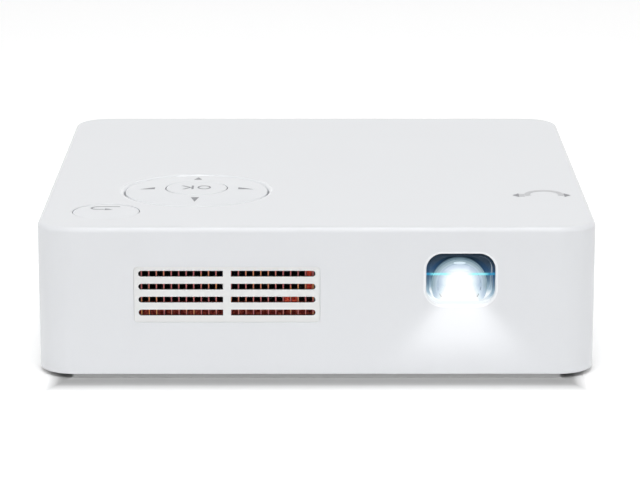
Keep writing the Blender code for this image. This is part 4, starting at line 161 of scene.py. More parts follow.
class KeySizes(bpy.types.PropertyGroup):
    """Sizes of the keys in the top."""

    ring: length(19.97, "Radius of the four-way ring")
    button: length(8.52, "Radius of the button in the ring")
    back: length(9.0, "Radius of the back button")
    edge: length(0.2, "Rounding of the keys")
    gap: length(0.18, "Gap round a key")
    play: length(0.24, "Gap between the ring and the button in it")
    ring_edge: length(1.3, "Rounding of the case round the four-way ring")
    dome: length(0.74, "How far the middle of the keypad stands above the case")
    sink: length(0.3, "How far the dome's foot lies below the case's top")
    ink: length(0.02, "Thickness of a printed mark")


class Colours(bpy.types.PropertyGroup):
    """Colours of the finishes."""

    shell: tint((0.768, 0.782, 0.805), "Satin white of the case")
    key: tint((0.772, 0.788, 0.812), "White of the keys")
    # Painted shade: the near-black colour put on the faces inside the case and deep in the vent insert,
    # where there is only shade.
    inside: tint((0.012, 0.012, 0.014), "Dark coat inside the case")
    insert: tint((0.805, 0.81, 0.805), "Warmer white of the vent insert")
    ink: tint((0.26, 0.265, 0.285), "Printed marks")
    faint_ink: tint((0.56, 0.565, 0.58), "Printed arc beside the focus wheel")
    bezel: tint((0.012, 0.02, 0.035), "Dark plastic round the lens")
    # The colour of the painted glow round the middle of the lens.
    glow: tint((0.6, 0.72, 0.86), "Light round the middle of the lens")
    # The colour of the painted red glow on the fins' front edges.
    fin: tint((0.62, 0.2, 0.2), "Front edges of the fins")
    pipe: tint((0.36, 0.045, 0.03), "Heat pipe behind the vent")


class StageSettings(bpy.types.PropertyGroup):
    """The camera and the lights."""

    distance: length(821.6, "How far the camera stands in front of the case's middle")
    height: length(219.2, "Height of the camera")
    pitch: amount(13.63 * DEGREE, "How far the camera looks down", subtype="ANGLE")
    yaw: amount(0.07 * DEGREE, "How far the camera looks to the right", subtype="ANGLE")
    lens: amount(162.55, "Focal length in mm")
    lamp: amount(1.0, "Strength of all lamps")
    glow: amount(17.0, "Strength of the light below the lens")
    sky: amount(0.465, "Strength of the light from all round")


# Modelling, as by hand

def let_go():
    """Back to object mode with nothing selected."""
    if bpy.context.mode != "OBJECT":
        bpy.ops.object.mode_set(mode="OBJECT")
    bpy.ops.object.select_all(action="DESELECT")


def take(piece):
    """Select one piece alone."""
    let_go()
    piece.select_set(True)
    bpy.context.view_layer.objects.active = piece


def settle(name):
    """Name the active piece and put its place into its mesh."""
    piece = bpy.context.active_object
    piece.name = name
    piece.data.name = name
    bpy.ops.object.transform_apply(location=True, rotation=True, scale=True)
    return piece


def block(name, low, high):
    """A box between two corners, to be shaped further."""
    let_go()
    place = [(a + b) / 2 for a, b in zip(low, high)]
    size = [b - a for a, b in zip(low, high)]
    bpy.ops.mesh.primitive_cube_add(size=1, location=place, scale=size)
    return settle(name)


def pick(piece, rule, kind="EDGE"):
    """Open a piece in edit mode and select what a rule picks."""
    take(piece)
    bpy.ops.object.mode_set(mode="EDIT")
    bpy.ops.mesh.select_mode(type=kind)
    bpy.ops.mesh.select_all(action="DESELECT")
    shape = bmesh.from_edit_mesh(piece.data)
    for element in {"VERT": shape.verts, "EDGE": shape.edges, "FACE": shape.faces}[kind]:
        if rule(element):
            element.select_set(True)
    bmesh.update_edit_mesh(piece.data)


def lies_along(axis):
    """Picks the edges that run along an axis."""
    return lambda edge: abs((edge.verts[0].co - edge.verts[1].co).normalized().dot(AXES[axis])) > 0.999


def lies_at(axis, level):
    """Picks the edges at one level of an axis."""
    return lambda edge: all(abs(v.co.dot(AXES[axis]) - level) < CLOSE for v in edge.verts)


def both(*rules):
    """Picks what each of the rules picks."""
    return lambda element: all(rule(element) for rule in rules)


def edited(piece, operator, rule=lambda element: True, kind="EDGE", **settings):
    """Run one operator of edit mode on what a rule picks."""
    pick(piece, rule, kind)
    operator(**settings)
    bpy.ops.object.mode_set(mode="OBJECT")


def round_over(piece, rule, width, segments=4):
    """Round the edges that a rule picks."""
    settings = {"offset": width, "segments": segments, "affect": "EDGES", "clamp_overlap": True}
    edited(piece, bpy.ops.mesh.bevel, rule, **settings)


def round_sharp(piece, width):
    """Round every sharp edge of a piece."""
    round_over(piece, lambda edge: edge.is_manifold and edge.calc_face_angle() > 40 * DEGREE, width, 2)


def slab(name, low, high, axis, corner, segments=10):
    """A box whose edges along one axis are rounded."""
    piece = block(name, low, high)
    round_over(piece, lies_along(axis), corner, segments)
    return piece


def plug(name, middle, half, near, far, corner, segments=10):
    """A slab with its middle and half its size seen from the front, between two levels of Y."""
    low, high = middle - half, middle + half
    low.y, high.y = near, far
    return slab(name, low, high, "Y", corner, segments)


def cut_slots(piece, vent, place, length, along, through, segments):
    """Cut two slots with round outer ends, one on each side of a post, through the levels in place."""
    middle, level, near, far = place
    for side in (-1, 1):
        end = middle + (vent.post / 2 + length) * side
        ends = sorted((middle + vent.post / 2 * side, end))
        low, high = (
            AXES[along] * ends[number] + AXES[through] * reach
            + AXES["Z"] * (level + (number - 0.5) * vent.slot_height)
            for number, reach in enumerate((near, far))
        )
        slot = block("slot", low, high)
        outer = both(lies_at(along, end), lies_along(through))
        round_over(slot, outer, vent.slot_height * 0.499, segments)
        cut(piece, slot)


def drum(name, middle, axis, radius, low, high, steps=64):
    """A cylinder to cut with, between two levels of an axis."""
    let_go()
    direction = AXES[axis]
    place = Vector(middle) + direction * ((low + high) / 2 - Vector(middle).dot(direction))
    turn = {"X": (0, math.pi / 2, 0), "Y": (math.pi / 2, 0, 0), "Z": (0, 0, 0)}[axis]
    bpy.ops.mesh.primitive_cylinder_add(
        vertices=steps, radius=radius, depth=high - low, location=place, rotation=turn
    )
    return settle(name)


def turned(name, middle, axis, profile, steps=96, angle=FULL_TURN, closed=True):
    """Spin a profile of (radius, height) points about an axis through middle."""
    let_go()
    bpy.ops.mesh.primitive_plane_add(size=MM)
    piece = settle(name)
    out = AXES["Y"] if axis == "X" else AXES["X"]
    points = [Vector(middle) + out * radius + AXES[axis] * height for radius, height in profile]
    bpy.ops.object.mode_set(mode="EDIT")
    bpy.ops.mesh.select_mode(type="VERT")
    bpy.ops.mesh.select_all(action="SELECT")
    bpy.ops.mesh.merge(type="CENTER")
    bpy.ops.transform.translate(value=points[0])
    for before, after in zip(points, points[1:]):
        bpy.ops.mesh.extrude_vertices_move(TRANSFORM_OT_translate={"value": after - before})
    bpy.ops.mesh.select_all(action="SELECT")
    bpy.ops.mesh.remove_doubles(threshold=CLOSE)
    bpy.ops.mesh.spin(steps=steps, angle=angle, center=middle, axis=AXES[axis])
    bpy.ops.mesh.select_all(action="SELECT")
    bpy.ops.mesh.remove_doubles(threshold=CLOSE)
    if closed:
        bpy.ops.mesh.fill_holes(sides=0)
    bpy.ops.mesh.normals_make_consistent(inside=False)
    bpy.ops.object.mode_set(mode="OBJECT")
    return piece


def arc(centre, radius, start, end, steps):
    """Points of a profile along part of a circle; angles in degrees."""
    points = []
    for step in range(steps + 1):
        angle = (start + (end - start) * step / steps) * DEGREE
        points.append((centre[0] + radius * math.cos(angle), centre[1] + radius * math.sin(angle)))
    return points


def apply(piece, kind, **settings):
    """Finish a piece with one modifier and apply it."""
    take(piece)
    modifier = piece.modifiers.new(kind.lower(), kind)
    for setting, value in settings.items():
        setattr(modifier, setting, value)
    bpy.ops.object.modifier_apply(modifier=modifier.name)


def cut(piece, *tools):
    """Take the tools out of a piece."""
    for tool in tools:
        apply(piece, "BOOLEAN", operation="DIFFERENCE", solver="EXACT", object=tool)
        bpy.data.objects.remove(tool)


def weld(name, *pieces):
    """Make one piece of several."""
    let_go()
    for piece in pieces:
        piece.select_set(True)
    bpy.context.view_layer.objects.active = pieces[0]
    bpy.ops.object.join()
    return settle(name)


def copied(piece, name, shift):
    """A copy with its own mesh, moved by a shift."""
    take(piece)
    bpy.ops.object.duplicate(linked=False)
    bpy.ops.transform.translate(value=shift)
    return settle(name)


def smoothed(piece, sharp):
    """Smooth shading that keeps flat faces flat."""
    take(piece)
    bpy.ops.object.shade_smooth_by_angle(angle=sharp)
    apply(piece, "WEIGHTED_NORMAL", mode="FACE_AREA", weight=100, keep_sharp=True)


def placed(piece, body, slot, finish, *nodes, sharp=SHARP):
    """Smooth a piece, give it its finish and its body, and hide the CAD nodes that it stands for."""
    if sharp:
        smoothed(piece, sharp)
    piece.data.materials.clear()
    piece.data.materials.append(FINISHES[finish])
    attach(piece, body)
    if nodes:
        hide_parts(*nodes)
    return piece


def painted(piece, finish, rule):
    """Give the faces that a rule picks a further finish."""
    piece.data.materials.append(FINISHES[finish])
    for face in piece.data.polygons:
        if rule(face):
            face.material_index = len(piece.data.materials) - 1


# Materials

def sum_of(operation, other_first=False):
    """One of Python's operators, made to add a Math node."""

    def work(reading, *others):
        values = (*others, reading) if other_first else (reading, *others)
        return reading.finish.node("ShaderNodeMath", {"operation": operation}, dict(enumerate(values)))

    return work


class Reading:
    """A socket that Python's sums act on, each adding a Math node."""

    __add__ = sum_of("ADD")
    __sub__ = sum_of("SUBTRACT")
    __mul__ = sum_of("MULTIPLY")
    __truediv__ = sum_of("DIVIDE")
    __pow__ = sum_of("POWER")
    __radd__ = sum_of("ADD", True)
    __rsub__ = sum_of("SUBTRACT", True)
    __rmul__ = sum_of("MULTIPLY", True)
    __gt__ = sum_of("GREATER_THAN")
    __lt__ = sum_of("LESS_THAN")
    __abs__ = sum_of("ABSOLUTE")
    at_least = sum_of("MAXIMUM")
    at_most = sum_of("MINIMUM")
    fraction = sum_of("FRACT")
    sine = sum_of("SINE")

    def __init__(self, finish, socket):
        self.finish = finish
        self.socket = socket

    def other(self, name):
        """Another output of the same node."""
        return Reading(self.finish, self.socket.node.outputs[name])


class Finish:
    """One material: its Principled shader and the nodes that feed it."""

    def __init__(self, name, **constants):
        self.material = bpy.data.materials.new(name)
        self.material.use_nodes = True
        self.tree = self.material.node_tree
        self.shader = self.tree.nodes["Principled BSDF"]
        for socket, value in constants.items():
            self.shader.inputs[socket.replace("_", " ")].default_value = value
        self.place = self.node("ShaderNodeTexCoord", {}, {}, "Object")

    @classmethod
    def on(cls, tree):
        """The same helpers on a node tree that is there already."""
        made = cls.__new__(cls)
        made.tree = tree
        return made

    def node(self, kind, settings, inputs, output=0):
        """Add a node with its settings and inputs, and read one of its outputs."""
        made = self.tree.nodes.new(kind)
        for setting, value in settings.items():
            if setting == "stops":
                self.set_stops(made.color_ramp, value)
            else:
                setattr(made, setting, value)
        for place, value in inputs.items():
            if isinstance(value, Reading):
                self.tree.links.new(value.socket, made.inputs[place])
            else:
                made.inputs[place].default_value = value
        return Reading(self, made.outputs[output])

    def set_stops(self, ramp, stops):
        """Set a ramp's stops from (position, colour) pairs."""
        for element, (position, colour) in zip(ramp.elements, (stops[0], stops[-1])):
            element.position = position
            element.color = (*colour, 1)
        for position, colour in stops[1:-1]:
            ramp.elements.new(position).color = (*colour, 1)

    def noise(self, scale, detail=2.0, roughness=0.5, place=None):
        """Noise of that scale, in cycles a metre."""
        inputs = {"Vector": place or self.place, "Scale": scale, "Detail": detail, "Roughness": roughness}
        return self.node("ShaderNodeTexNoise", {}, inputs, "Fac")

    def stretched(self, x, y, z):
        """Object coordinates stretched along the axes."""
        return self.node(
            "ShaderNodeVectorMath", {"operation": "MULTIPLY"}, {0: self.place, 1: (x, y, z)}, "Vector"
        )

    def coordinates(self, origin=(0, 0, 0)):
        """X, Y and Z from an origin, in metres."""
        moved = self.node(
            "ShaderNodeVectorMath", {"operation": "SUBTRACT"}, {0: self.place, 1: origin}, "Vector"
        )
        x = self.node("ShaderNodeSeparateXYZ", {}, {0: moved}, "X")
        return x, x.other("Y"), x.other("Z")

    def ramp(self, value, *stops):
        """A colour that follows a value."""
        return self.node("ShaderNodeValToRGB", {"stops": stops}, {"Fac": value}, "Color")

    def greys(self, value, *stops):
        """A grey that follows a value."""
        return self.ramp(value, *((place, (grey, grey, grey)) for place, grey in stops))

    def seen(self):
        """1 where the camera looks, also by a mirror or through glass, and otherwise 0."""
        path = self.node("ShaderNodeLightPath", {}, {}, "Is Camera Ray")
        return path + path.other("Is Glossy Ray") + path.other("Is Transmission Ray")

    def between(self, share, first, second):
        """A colour between two others."""
        first, second = (c if isinstance(c, Reading) else (*c[:3], 1) for c in (first, second))
        return self.node("ShaderNodeMix", {"data_type": "RGBA"}, {0: share, 6: first, 7: second}, 2)

    def feed(self, **sources):
        """Link readings to the shader's inputs."""
        for socket, reading in sources.items():
            self.tree.links.new(reading.socket, self.shader.inputs[socket.replace("_", " ")])

    def bump(self, height, distance):
        """Relief from a height, in metres."""
        inputs = {"Height": height, "Distance": distance, "Strength": 1.0}
        self.feed(Normal=self.node("ShaderNodeBump", {}, inputs, "Normal"))


def scaled(colour, factor):
    """A colour made lighter or darker."""
    return tuple(min(1.0, channel * factor) for channel in colour[:3])


def shades(colour, dark, light):
    """A darker and a lighter shade of a colour."""
    return scaled(colour, dark), scaled(colour, light)


def ink_skin(colour):
    """What grained needs for screen-printed ink."""
    return (3800.0, 2.0), shades(colour, 0.94, 1.06), (0.42, 0.12), 0.002 * MM


def moulded_plastic(name, colour, roughness, grain=0.004 * MM, mottle=0.012, gloss=0.0, painted_glow=0.0):
    """Injection-moulded plastic with a fine spark-eroded skin, lacquered where it has a gloss, and with a
    painted glow where it is given one.
    """
    finish = Finish(name, Coat_Weight=gloss, Coat_Roughness=0.22, Emission_Strength=painted_glow)
    clouds = finish.noise(38.0, 3.0)
    skin = finish.noise(2600.0, 3.0, 0.6)
    share = clouds * 0.7 + skin * 0.3
    finish.feed(
        Base_Color=finish.between(share, *shades(colour, 1 - mottle, 1 + mottle)),
        Roughness=roughness - 0.05 + skin * 0.1,
    )
    finish.bump(skin, grain)
    return finish.material


def grained(name, noise, colours, roughness, relief=0.0, stretch=(1, 1, 1), stops=(0.0, 1.0), **constants):
    """A skin whose colour, relief and roughness follow one noise; roughness is its least and its span."""
    finish = Finish(name, **constants)
    grain = finish.noise(*noise, place=finish.stretched(*stretch))
    finish.feed(
        Base_Color=finish.ramp(grain, *zip(stops, colours)),
        Roughness=roughness[0] + grain * roughness[1],
    )
    if relief:
        finish.bump(grain, relief)
    return finish.material


def flare_on(finish, picture, x, level):
    """A thin blue streak of painted light, a painted flare, across the lens and the funnel."""
    streak = abs(level - 2.65 * MM) < 0.34 * MM
    beside = abs(x) > 2.0 * MM
    near = finish.ramp(
        abs(x) / (9 * MM),
        (0.22, (0.95, 0.98, 1.0)),
        (0.42, (0.35, 0.96, 1.0)),
        (0.78, (0.25, 0.85, 0.95)),
        (0.9, (0.02, 0.28, 0.5)),
    )
    return finish.between(streak * beside * 0.85, picture, near)


def glow_painted_bezel(colour):
    """Dark plastic with a painted glow from the lens, brightest below it, and a painted highlight along
    the inner edge of its lip.
    """
    finish = Finish("lit_funnel", Emission_Strength=1.0, Specular_IOR_Level=0.12)
    x, y, z = finish.coordinates(LENS)
    skin = finish.noise(1500.0, 3.0, 0.6)
    painted_glow = finish.ramp(
        (z + 6 * MM - abs(x) * 0.08 + x * 0.05) / (16 * MM) + (skin - 0.5) * 0.03,
        (0.0, (0.95, 0.98, 0.99)),
        (0.19, (0.92, 0.97, 0.98)),
        (0.27, (0.36, 0.5, 0.6)),
        (0.42, (0.12, 0.2, 0.27)),
        (0.6, (0.02, 0.06, 0.13)),
        (0.8, (0.006, 0.018, 0.03)),
        (1.0, (0.003, 0.008, 0.012)),
    )
    outward = (abs(x - 0.1 * MM) - 4.9 * MM).at_least(0.0)
    upward = (abs(z - 3.1 * MM) - 2.65 * MM).at_least(0.0)
    # Painted highlight: a thin light line along the lip's inner edge, on the right.
    painted_lip_highlight = abs((outward * outward + upward * upward) ** 0.5 - 3.42 * MM) < 0.1 * MM
    painted_glow = finish.between(painted_lip_highlight * (x > 5.0 * MM) * 0.4, painted_glow, (0.55, 0.62, 0.66))
    finish.feed(
        Base_Color=finish.between(skin, *shades(colour, 0.8, 1.4)),
        Roughness=0.4 + skin * 0.14,
        Emission_Color=flare_on(finish, painted_glow, x, z + y * 0.26),
    )
    finish.bump(skin, 0.004 * MM)
    return finish.material


def shining_lens(glow):
    """The front lens and its ring with a painted glow: white in the middle, grey blue above, with a
    painted highlight near the top and a painted light ring near the edge.
    """
    finish = Finish("shining_lens", Roughness=0.06, Coat_Roughness=0.02, Emission_Strength=1.0)
    x, y, z = finish.coordinates(LENS)
    swirl = finish.noise(260.0, 4.0, 0.6)
    above = (z - 1.0 * MM).at_least(0.0)
    below = z.at_most(0.0)
    away = (x * x * 0.74 + above * above * 1.2) ** 0.5
    reach = away / (7.2 * MM) + below * 50 + (swirl - 0.5) * 0.12
    light = finish.ramp(
        reach,
        (0.0, (0.95, 0.95, 0.95)),
        (0.4, (0.95, 0.95, 0.95)),
        (0.5, (0.74, 0.86, 0.92)),
        (0.6, scaled(glow, 0.9)),
        (0.72, (0.38, 0.5, 0.62)),
        (0.84, (0.26, 0.37, 0.43)),
        (0.93, (0.16, 0.25, 0.31)),
        (1.0, (0.07, 0.12, 0.16)),
    )
    # Painted highlight: a faint light ring near the lens's edge.
    edge = abs((x * x + z * z) ** 0.5 - 6.3 * MM) < 0.13 * MM
    light = finish.between(edge * 0.16, light, (0.8, 0.92, 0.95))
    # Painted highlight: a small light oval near the top of the lens.
    painted_highlight = ((x / (1.65 * MM)) ** 2.0 + ((z - 6.2 * MM) / (0.36 * MM)) ** 2.0) < 1.0
    light = finish.between(painted_highlight * 0.8, light, (0.75, 0.9, 1.0))
    light = flare_on(finish, light, x, z + y * 0.26)
    finish.feed(
        Base_Color=finish.between(0.97, light, (0.0, 0.0, 0.0)),
        Coat_Weight=0.9 - swirl * 0.2,
        Emission_Color=light,
    )
    return finish.material


def fin_metal(edge):
    """Thin fins whose cut front edges carry a painted red glow."""
    finish = Finish("fin_metal", Metallic=0.9, Emission_Strength=0.35)
    x, y = finish.coordinates((0, FRONT, 0))[:2]
    patch = finish.noise(130.0, 3.0, 0.7, finish.stretched(1, 1, 1.6))
    painted_edge_glow = finish.ramp(
        patch,
        (0.3, scaled(edge, 0.75)),
        (0.48, edge),
        (0.62, (0.75, 0.33, 0.12)),
        (0.7, (0.8, 0.06, 0.03)),
    )
    step = (x - FINS_LOW.x - FIN_THICKNESS / 2) / FIN_PITCH + 0.5
    across = abs(step.fraction() - 0.5) * FIN_PITCH
    # Painted glow: only the fins' front edges get the red colour and its emission.
    front = (y < 3.75 * MM) * (across < 0.15 * MM)
    rolled = finish.noise(700.0, 3.0, 0.6, finish.stretched(1, 0.15, 1))
    finish.feed(
        Base_Color=finish.between(front, (0.035, 0.03, 0.032), painted_edge_glow),
        Roughness=0.42 + rolled * 0.2,
        Emission_Color=finish.between(front, (0.0, 0.0, 0.0), painted_edge_glow),
    )
    finish.bump(rolled, 0.01 * MM)
    return finish.material


def pipe_metal(name, colour):
    """Sintered dark red copper, blotched by heat, with a painted red glow where its blotches are lighter.
    """
    finish = Finish(name, Metallic=0.55, Emission_Strength=0.25)
    blotch = finish.noise(900.0, 5.0, 0.75)
    finish.feed(
        Base_Color=finish.ramp(
            blotch, (0.34, scaled(colour, 0.2)), (0.52, colour), (0.66, (0.75, 0.25, 0.13))
        ),
        Roughness=0.5 + blotch * 0.25,
        # Painted glow: the emission follows the blotches.
        Emission_Color=finish.ramp(blotch, (0.4, (0.02, 0, 0)), (0.6, scaled(colour, 0.8))),
    )
    finish.bump(blotch, 0.05 * MM)
    return finish.material


def worked_metal(name, colour, roughness, stretch=(1, 1, 1), grain=0.003 * MM):
    """Metal with fine tool lines and a little tarnish."""
    finish = Finish(name, Metallic=1.0)
    lines = finish.noise(1800.0, 3.0, 0.6, finish.stretched(*stretch))
    tarnish = finish.noise(120.0, 3.0)
    finish.feed(
        Base_Color=finish.between(tarnish, *shades(colour, 0.86, 1.08)),
        Roughness=roughness - 0.08 + lines * 0.16,
    )
    finish.bump(lines, grain)
    return finish.material


def circuit_finish():
    """Solder mask over copper tracks, with bare pads."""
    finish = Finish("circuit_board", Coat_Weight=0.4, Coat_Roughness=0.2)
    tracks = finish.node(
        "ShaderNodeTexBrick",
        {"offset": 0.37, "squash": 0.7, "squash_frequency": 3},
        {"Vector": finish.place, "Scale": 260.0, "Mortar Size": 0.09, "Mortar Smooth": 0.2},
        "Fac",
    )
    pads = finish.node("ShaderNodeTexVoronoi", {}, {"Vector": finish.place, "Scale": 420.0}, "Distance")
    pad = pads < 0.12
    mask = finish.between(tracks, (0.012, 0.14, 0.055), (0.02, 0.24, 0.1))
    finish.feed(
        Base_Color=finish.between(pad, mask, (0.75, 0.6, 0.3)),
        Roughness=0.42 - pad * 0.12,
        Metallic=pad * 0.9,
    )
    finish.bump(tracks, 0.03 * MM)
    return finish.material


def ribbon_finish():
    """Amber ribbon with its copper lines showing through."""
    finish = Finish("ribbon_film", Coat_Weight=0.5)
    line = (finish.coordinates()[0] * 6300.0).sine()
    finish.feed(
        Base_Color=finish.between(line > 0.1, (0.42, 0.16, 0.02), (0.7, 0.36, 0.08)),
        Roughness=0.3 + (line > 0.1) * 0.08,
    )
    finish.bump(line, 0.01 * MM)
    return finish.material


def led_finish(name, colour):
    """A lamp's dome on its pale substrate."""
    finish = Finish(name, Coat_Weight=1.0, Emission_Strength=0.4)
    grain = finish.noise(1100.0, 3.0)
    bright = finish.between(grain, *shades(colour, 0.7, 1.2))
    finish.feed(Base_Color=bright, Roughness=0.18 + grain * 0.1, Emission_Color=bright)
    return finish.material


def studio_floor():
    """Pale floor that the camera sees as white, that keeps the lamps' shadow, and that has a painted
    shadow round the case.
    """
    finish = Finish("studio_floor")
    grain = finish.noise(60.0, 3.0)
    x, y = finish.coordinates()[:2]
    past = abs(y) - CASE_HIGH.y
    away = (past.at_least((abs(x) - 66 * MM) * 2) + 4 * MM) / (24 * MM)
    path = finish.node("ShaderNodeLightPath", {}, {}, "Is Camera Ray")
    # Painted shadow: for the camera, the floor's colour darkens round the case.
    depth = finish.greys(
        away, (0.1, 0), (0.175, 0.67), (0.258, 0.8), (0.34, 0.8), (0.42, 0.7), (0.5, 0.39), (0.583, 0.18),
        (0.7, 0),
    )
    # Painted light: white that only the camera sees, under the case and away from it, which shapes the
    # painted shadow's edge.
    lift = finish.greys(away, (0.1, 0.2), (0.175, 0), (0.57, 0), (0.67, 0.06), (0.8, 0.2))
    pale = finish.between(grain, (0.97, 0.97, 0.97), (1.0, 1.0, 1.0))
    finish.feed(
        Base_Color=finish.between(depth * path, pale, (0.2, 0.2, 0.2)),
        Roughness=0.75 + grain * 0.1,
    )
    white = finish.node("ShaderNodeEmission", {}, {"Color": (1, 1, 1, 1), "Strength": 1.0}, "Emission")
    plain = Reading(finish, finish.shader.outputs["BSDF"])
    unlit = finish.node("ShaderNodeEmission", {}, {"Strength": 0.0}, "Emission")
    added = finish.node("ShaderNodeMixShader", {}, {0: finish.seen() * lift, 1: unlit, 2: white}, "Shader")
    mixed = finish.node("ShaderNodeAddShader", {}, {0: plain, 1: added}, "Shader")
    finish.tree.links.new(mixed.socket, finish.tree.nodes["Material Output"].inputs["Surface"])
    return finish.material


FINISHES = {}
CARRIED = {
    "white_shell": ("bottom_cover",),
    "inner_plastic": (
        "dpad_gimbal_ring", "keypad_collar", "engine_housing", "fan_frame", "power_switch_body"
    ),
    "wheel_plastic": ("focus_wheel", "focus_bracket"),
    "black_plastic": ("focus_barrel", "speaker", "fan_rotor", "power_switch_knob"),
    "steel": (
        "focus_axle", "hdmi_port", "usb_port",
        *(f"{kind}_screw_{number}" for kind in ("case", "board") for number in range(1, 5)),
        *(f"tact_switch_{key}" for key in ("right", "up", "left", "down", "ok", "back")),
    ),
    "copper": ("led_spreader",),
    "pipe_copper": ("heat_pipe",),
    "fin_metal": ("led_heatsink",),
    "aluminium": ("chip_heatsink",),
    "circuit_board": ("keypad_board", "chip_board", "main_board"),
    "battery_wrap": ("battery_pack",),
    "ribbon": ("keypad_ribbon",),
    "infra_red_window": ("ir_window",),
    "coated_glass": ("lens_rear_element",),
    **{f"led_{colour}": (f"led_module_{colour}",) for colour in ("red", "green", "blue")},
}


class ModelStep:
    """What all buttons of the panel share."""

    def execute(self, context):
        self.build(context.scene)
        return {"FINISHED"}


class PROJECTOR_OT_finishes(ModelStep, bpy.types.Operator):
    """Make every material and give the CAD pieces that stay theirs"""

    bl_idname = "projector.finishes"
    bl_label = "Finishes"

    def build(self, scene):
        colours = scene.projector_colours
        FINISHES.update(
            white_shell=moulded_plastic("white_shell", colours.shell, 0.38, gloss=0.35),
            # Painted glow: the white of the rounded edge round the lens window, made to look lit by the
            # lens.
            lit_edge=moulded_plastic("lit_edge", colours.shell, 0.38, gloss=0.35, painted_glow=0.13),
            # Glossier white whose lighter colour is a painted highlight on the rim round the four-way
            # ring.
            polished_edge=moulded_plastic("polished_edge", scaled(colours.shell, 1.05), 0.3, gloss=1.0),
            white_key=moulded_plastic("white_key", colours.key, 0.36, 0.003 * MM, gloss=0.35),
            # Painted shade for the faces inside the case and behind the vent's slots.
            inside_coat=grained(
                "inside_coat", (900.0, 4.0, 0.7), shades(colours.inside, 0.6, 1.5), (0.75, 0.2), 0.02 * MM
            ),
            white_insert=moulded_plastic("white_insert", colours.insert, 0.42),
            ink=grained("printed_ink", *ink_skin(colours.ink)),
            faint_ink=grained("faint_ink", *ink_skin(colours.faint_ink)),
            lit_funnel=glow_painted_bezel(colours.bezel),
            shining_lens=shining_lens(colours.glow),
            inner_plastic=moulded_plastic("inner_plastic", (0.06, 0.06, 0.063), 0.5, 0.006 * MM, 0.2),
            wheel_plastic=moulded_plastic("wheel_plastic", (0.13, 0.13, 0.135), 0.45, 0.006 * MM, 0.1),
            black_plastic=moulded_plastic("black_plastic", (0.022, 0.022, 0.024), 0.42, 0.005 * MM, 0.25),
            rubber=grained(
                "foot_rubber", (850.0, 5.0, 0.7), ((0.035, 0.035, 0.036), (0.075, 0.074, 0.072)),
                (0.8, 0.15), 0.03 * MM, stops=(0.3, 0.7),
            ),
            steel=worked_metal("steel", (0.62, 0.62, 0.63), 0.32, (1, 0.1, 1)),
            brass=worked_metal("brass", (0.78, 0.57, 0.24), 0.3, (1, 1, 0.1)),
            gold=worked_metal("gold_contacts", (0.9, 0.68, 0.3), 0.22, (1, 0.1, 1), 0.001 * MM),
            copper=worked_metal("copper", (0.78, 0.33, 0.2), 0.34, (1, 1, 0.12)),
            aluminium=worked_metal("aluminium", (0.72, 0.73, 0.74), 0.38, (0.1, 1, 1)),
            fin_metal=fin_metal(colours.fin),
            pipe_copper=pipe_metal("pipe_copper", colours.pipe),
            tab_copper=pipe_metal("tab_copper", (0.75, 0.06, 0.03)),
            circuit_board=circuit_finish(),
            battery_wrap=grained(
                "battery_wrap", (160.0, 4.0, 0.6), ((0.03, 0.07, 0.24), (0.07, 0.15, 0.42)),
                (0.32, 0.2), 0.15 * MM, (0.15, 1, 1), (0.3, 0.7), Coat_Weight=0.3,
            ),
            ribbon=ribbon_finish(),
            infra_red_window=grained(
                "infra_red_window", (420.0, 3.0), ((0.02, 0.002, 0.005), (0.05, 0.004, 0.01)),
                (0.08, 0.06), 0.001 * MM, Coat_Weight=1.0, Coat_Roughness=0.03,
            ),
            coated_glass=grained(
                "coated_glass", (160.0, 2.0), ((0.3, 0.42, 0.6), (0.5, 0.4, 0.65)),
                (0.04, 0.04), IOR=1.6, Coat_Weight=1.0,
            ),
            led_red=led_finish("led_red", (0.8, 0.06, 0.04)),
            led_green=led_finish("led_green", (0.08, 0.7, 0.12)),
            led_blue=led_finish("led_blue", (0.06, 0.14, 0.8)),
        )
        for finish, nodes in CARRIED.items():
            for node in nodes:
                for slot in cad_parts[node].material_slots:
                    slot.material = FINISHES[finish]


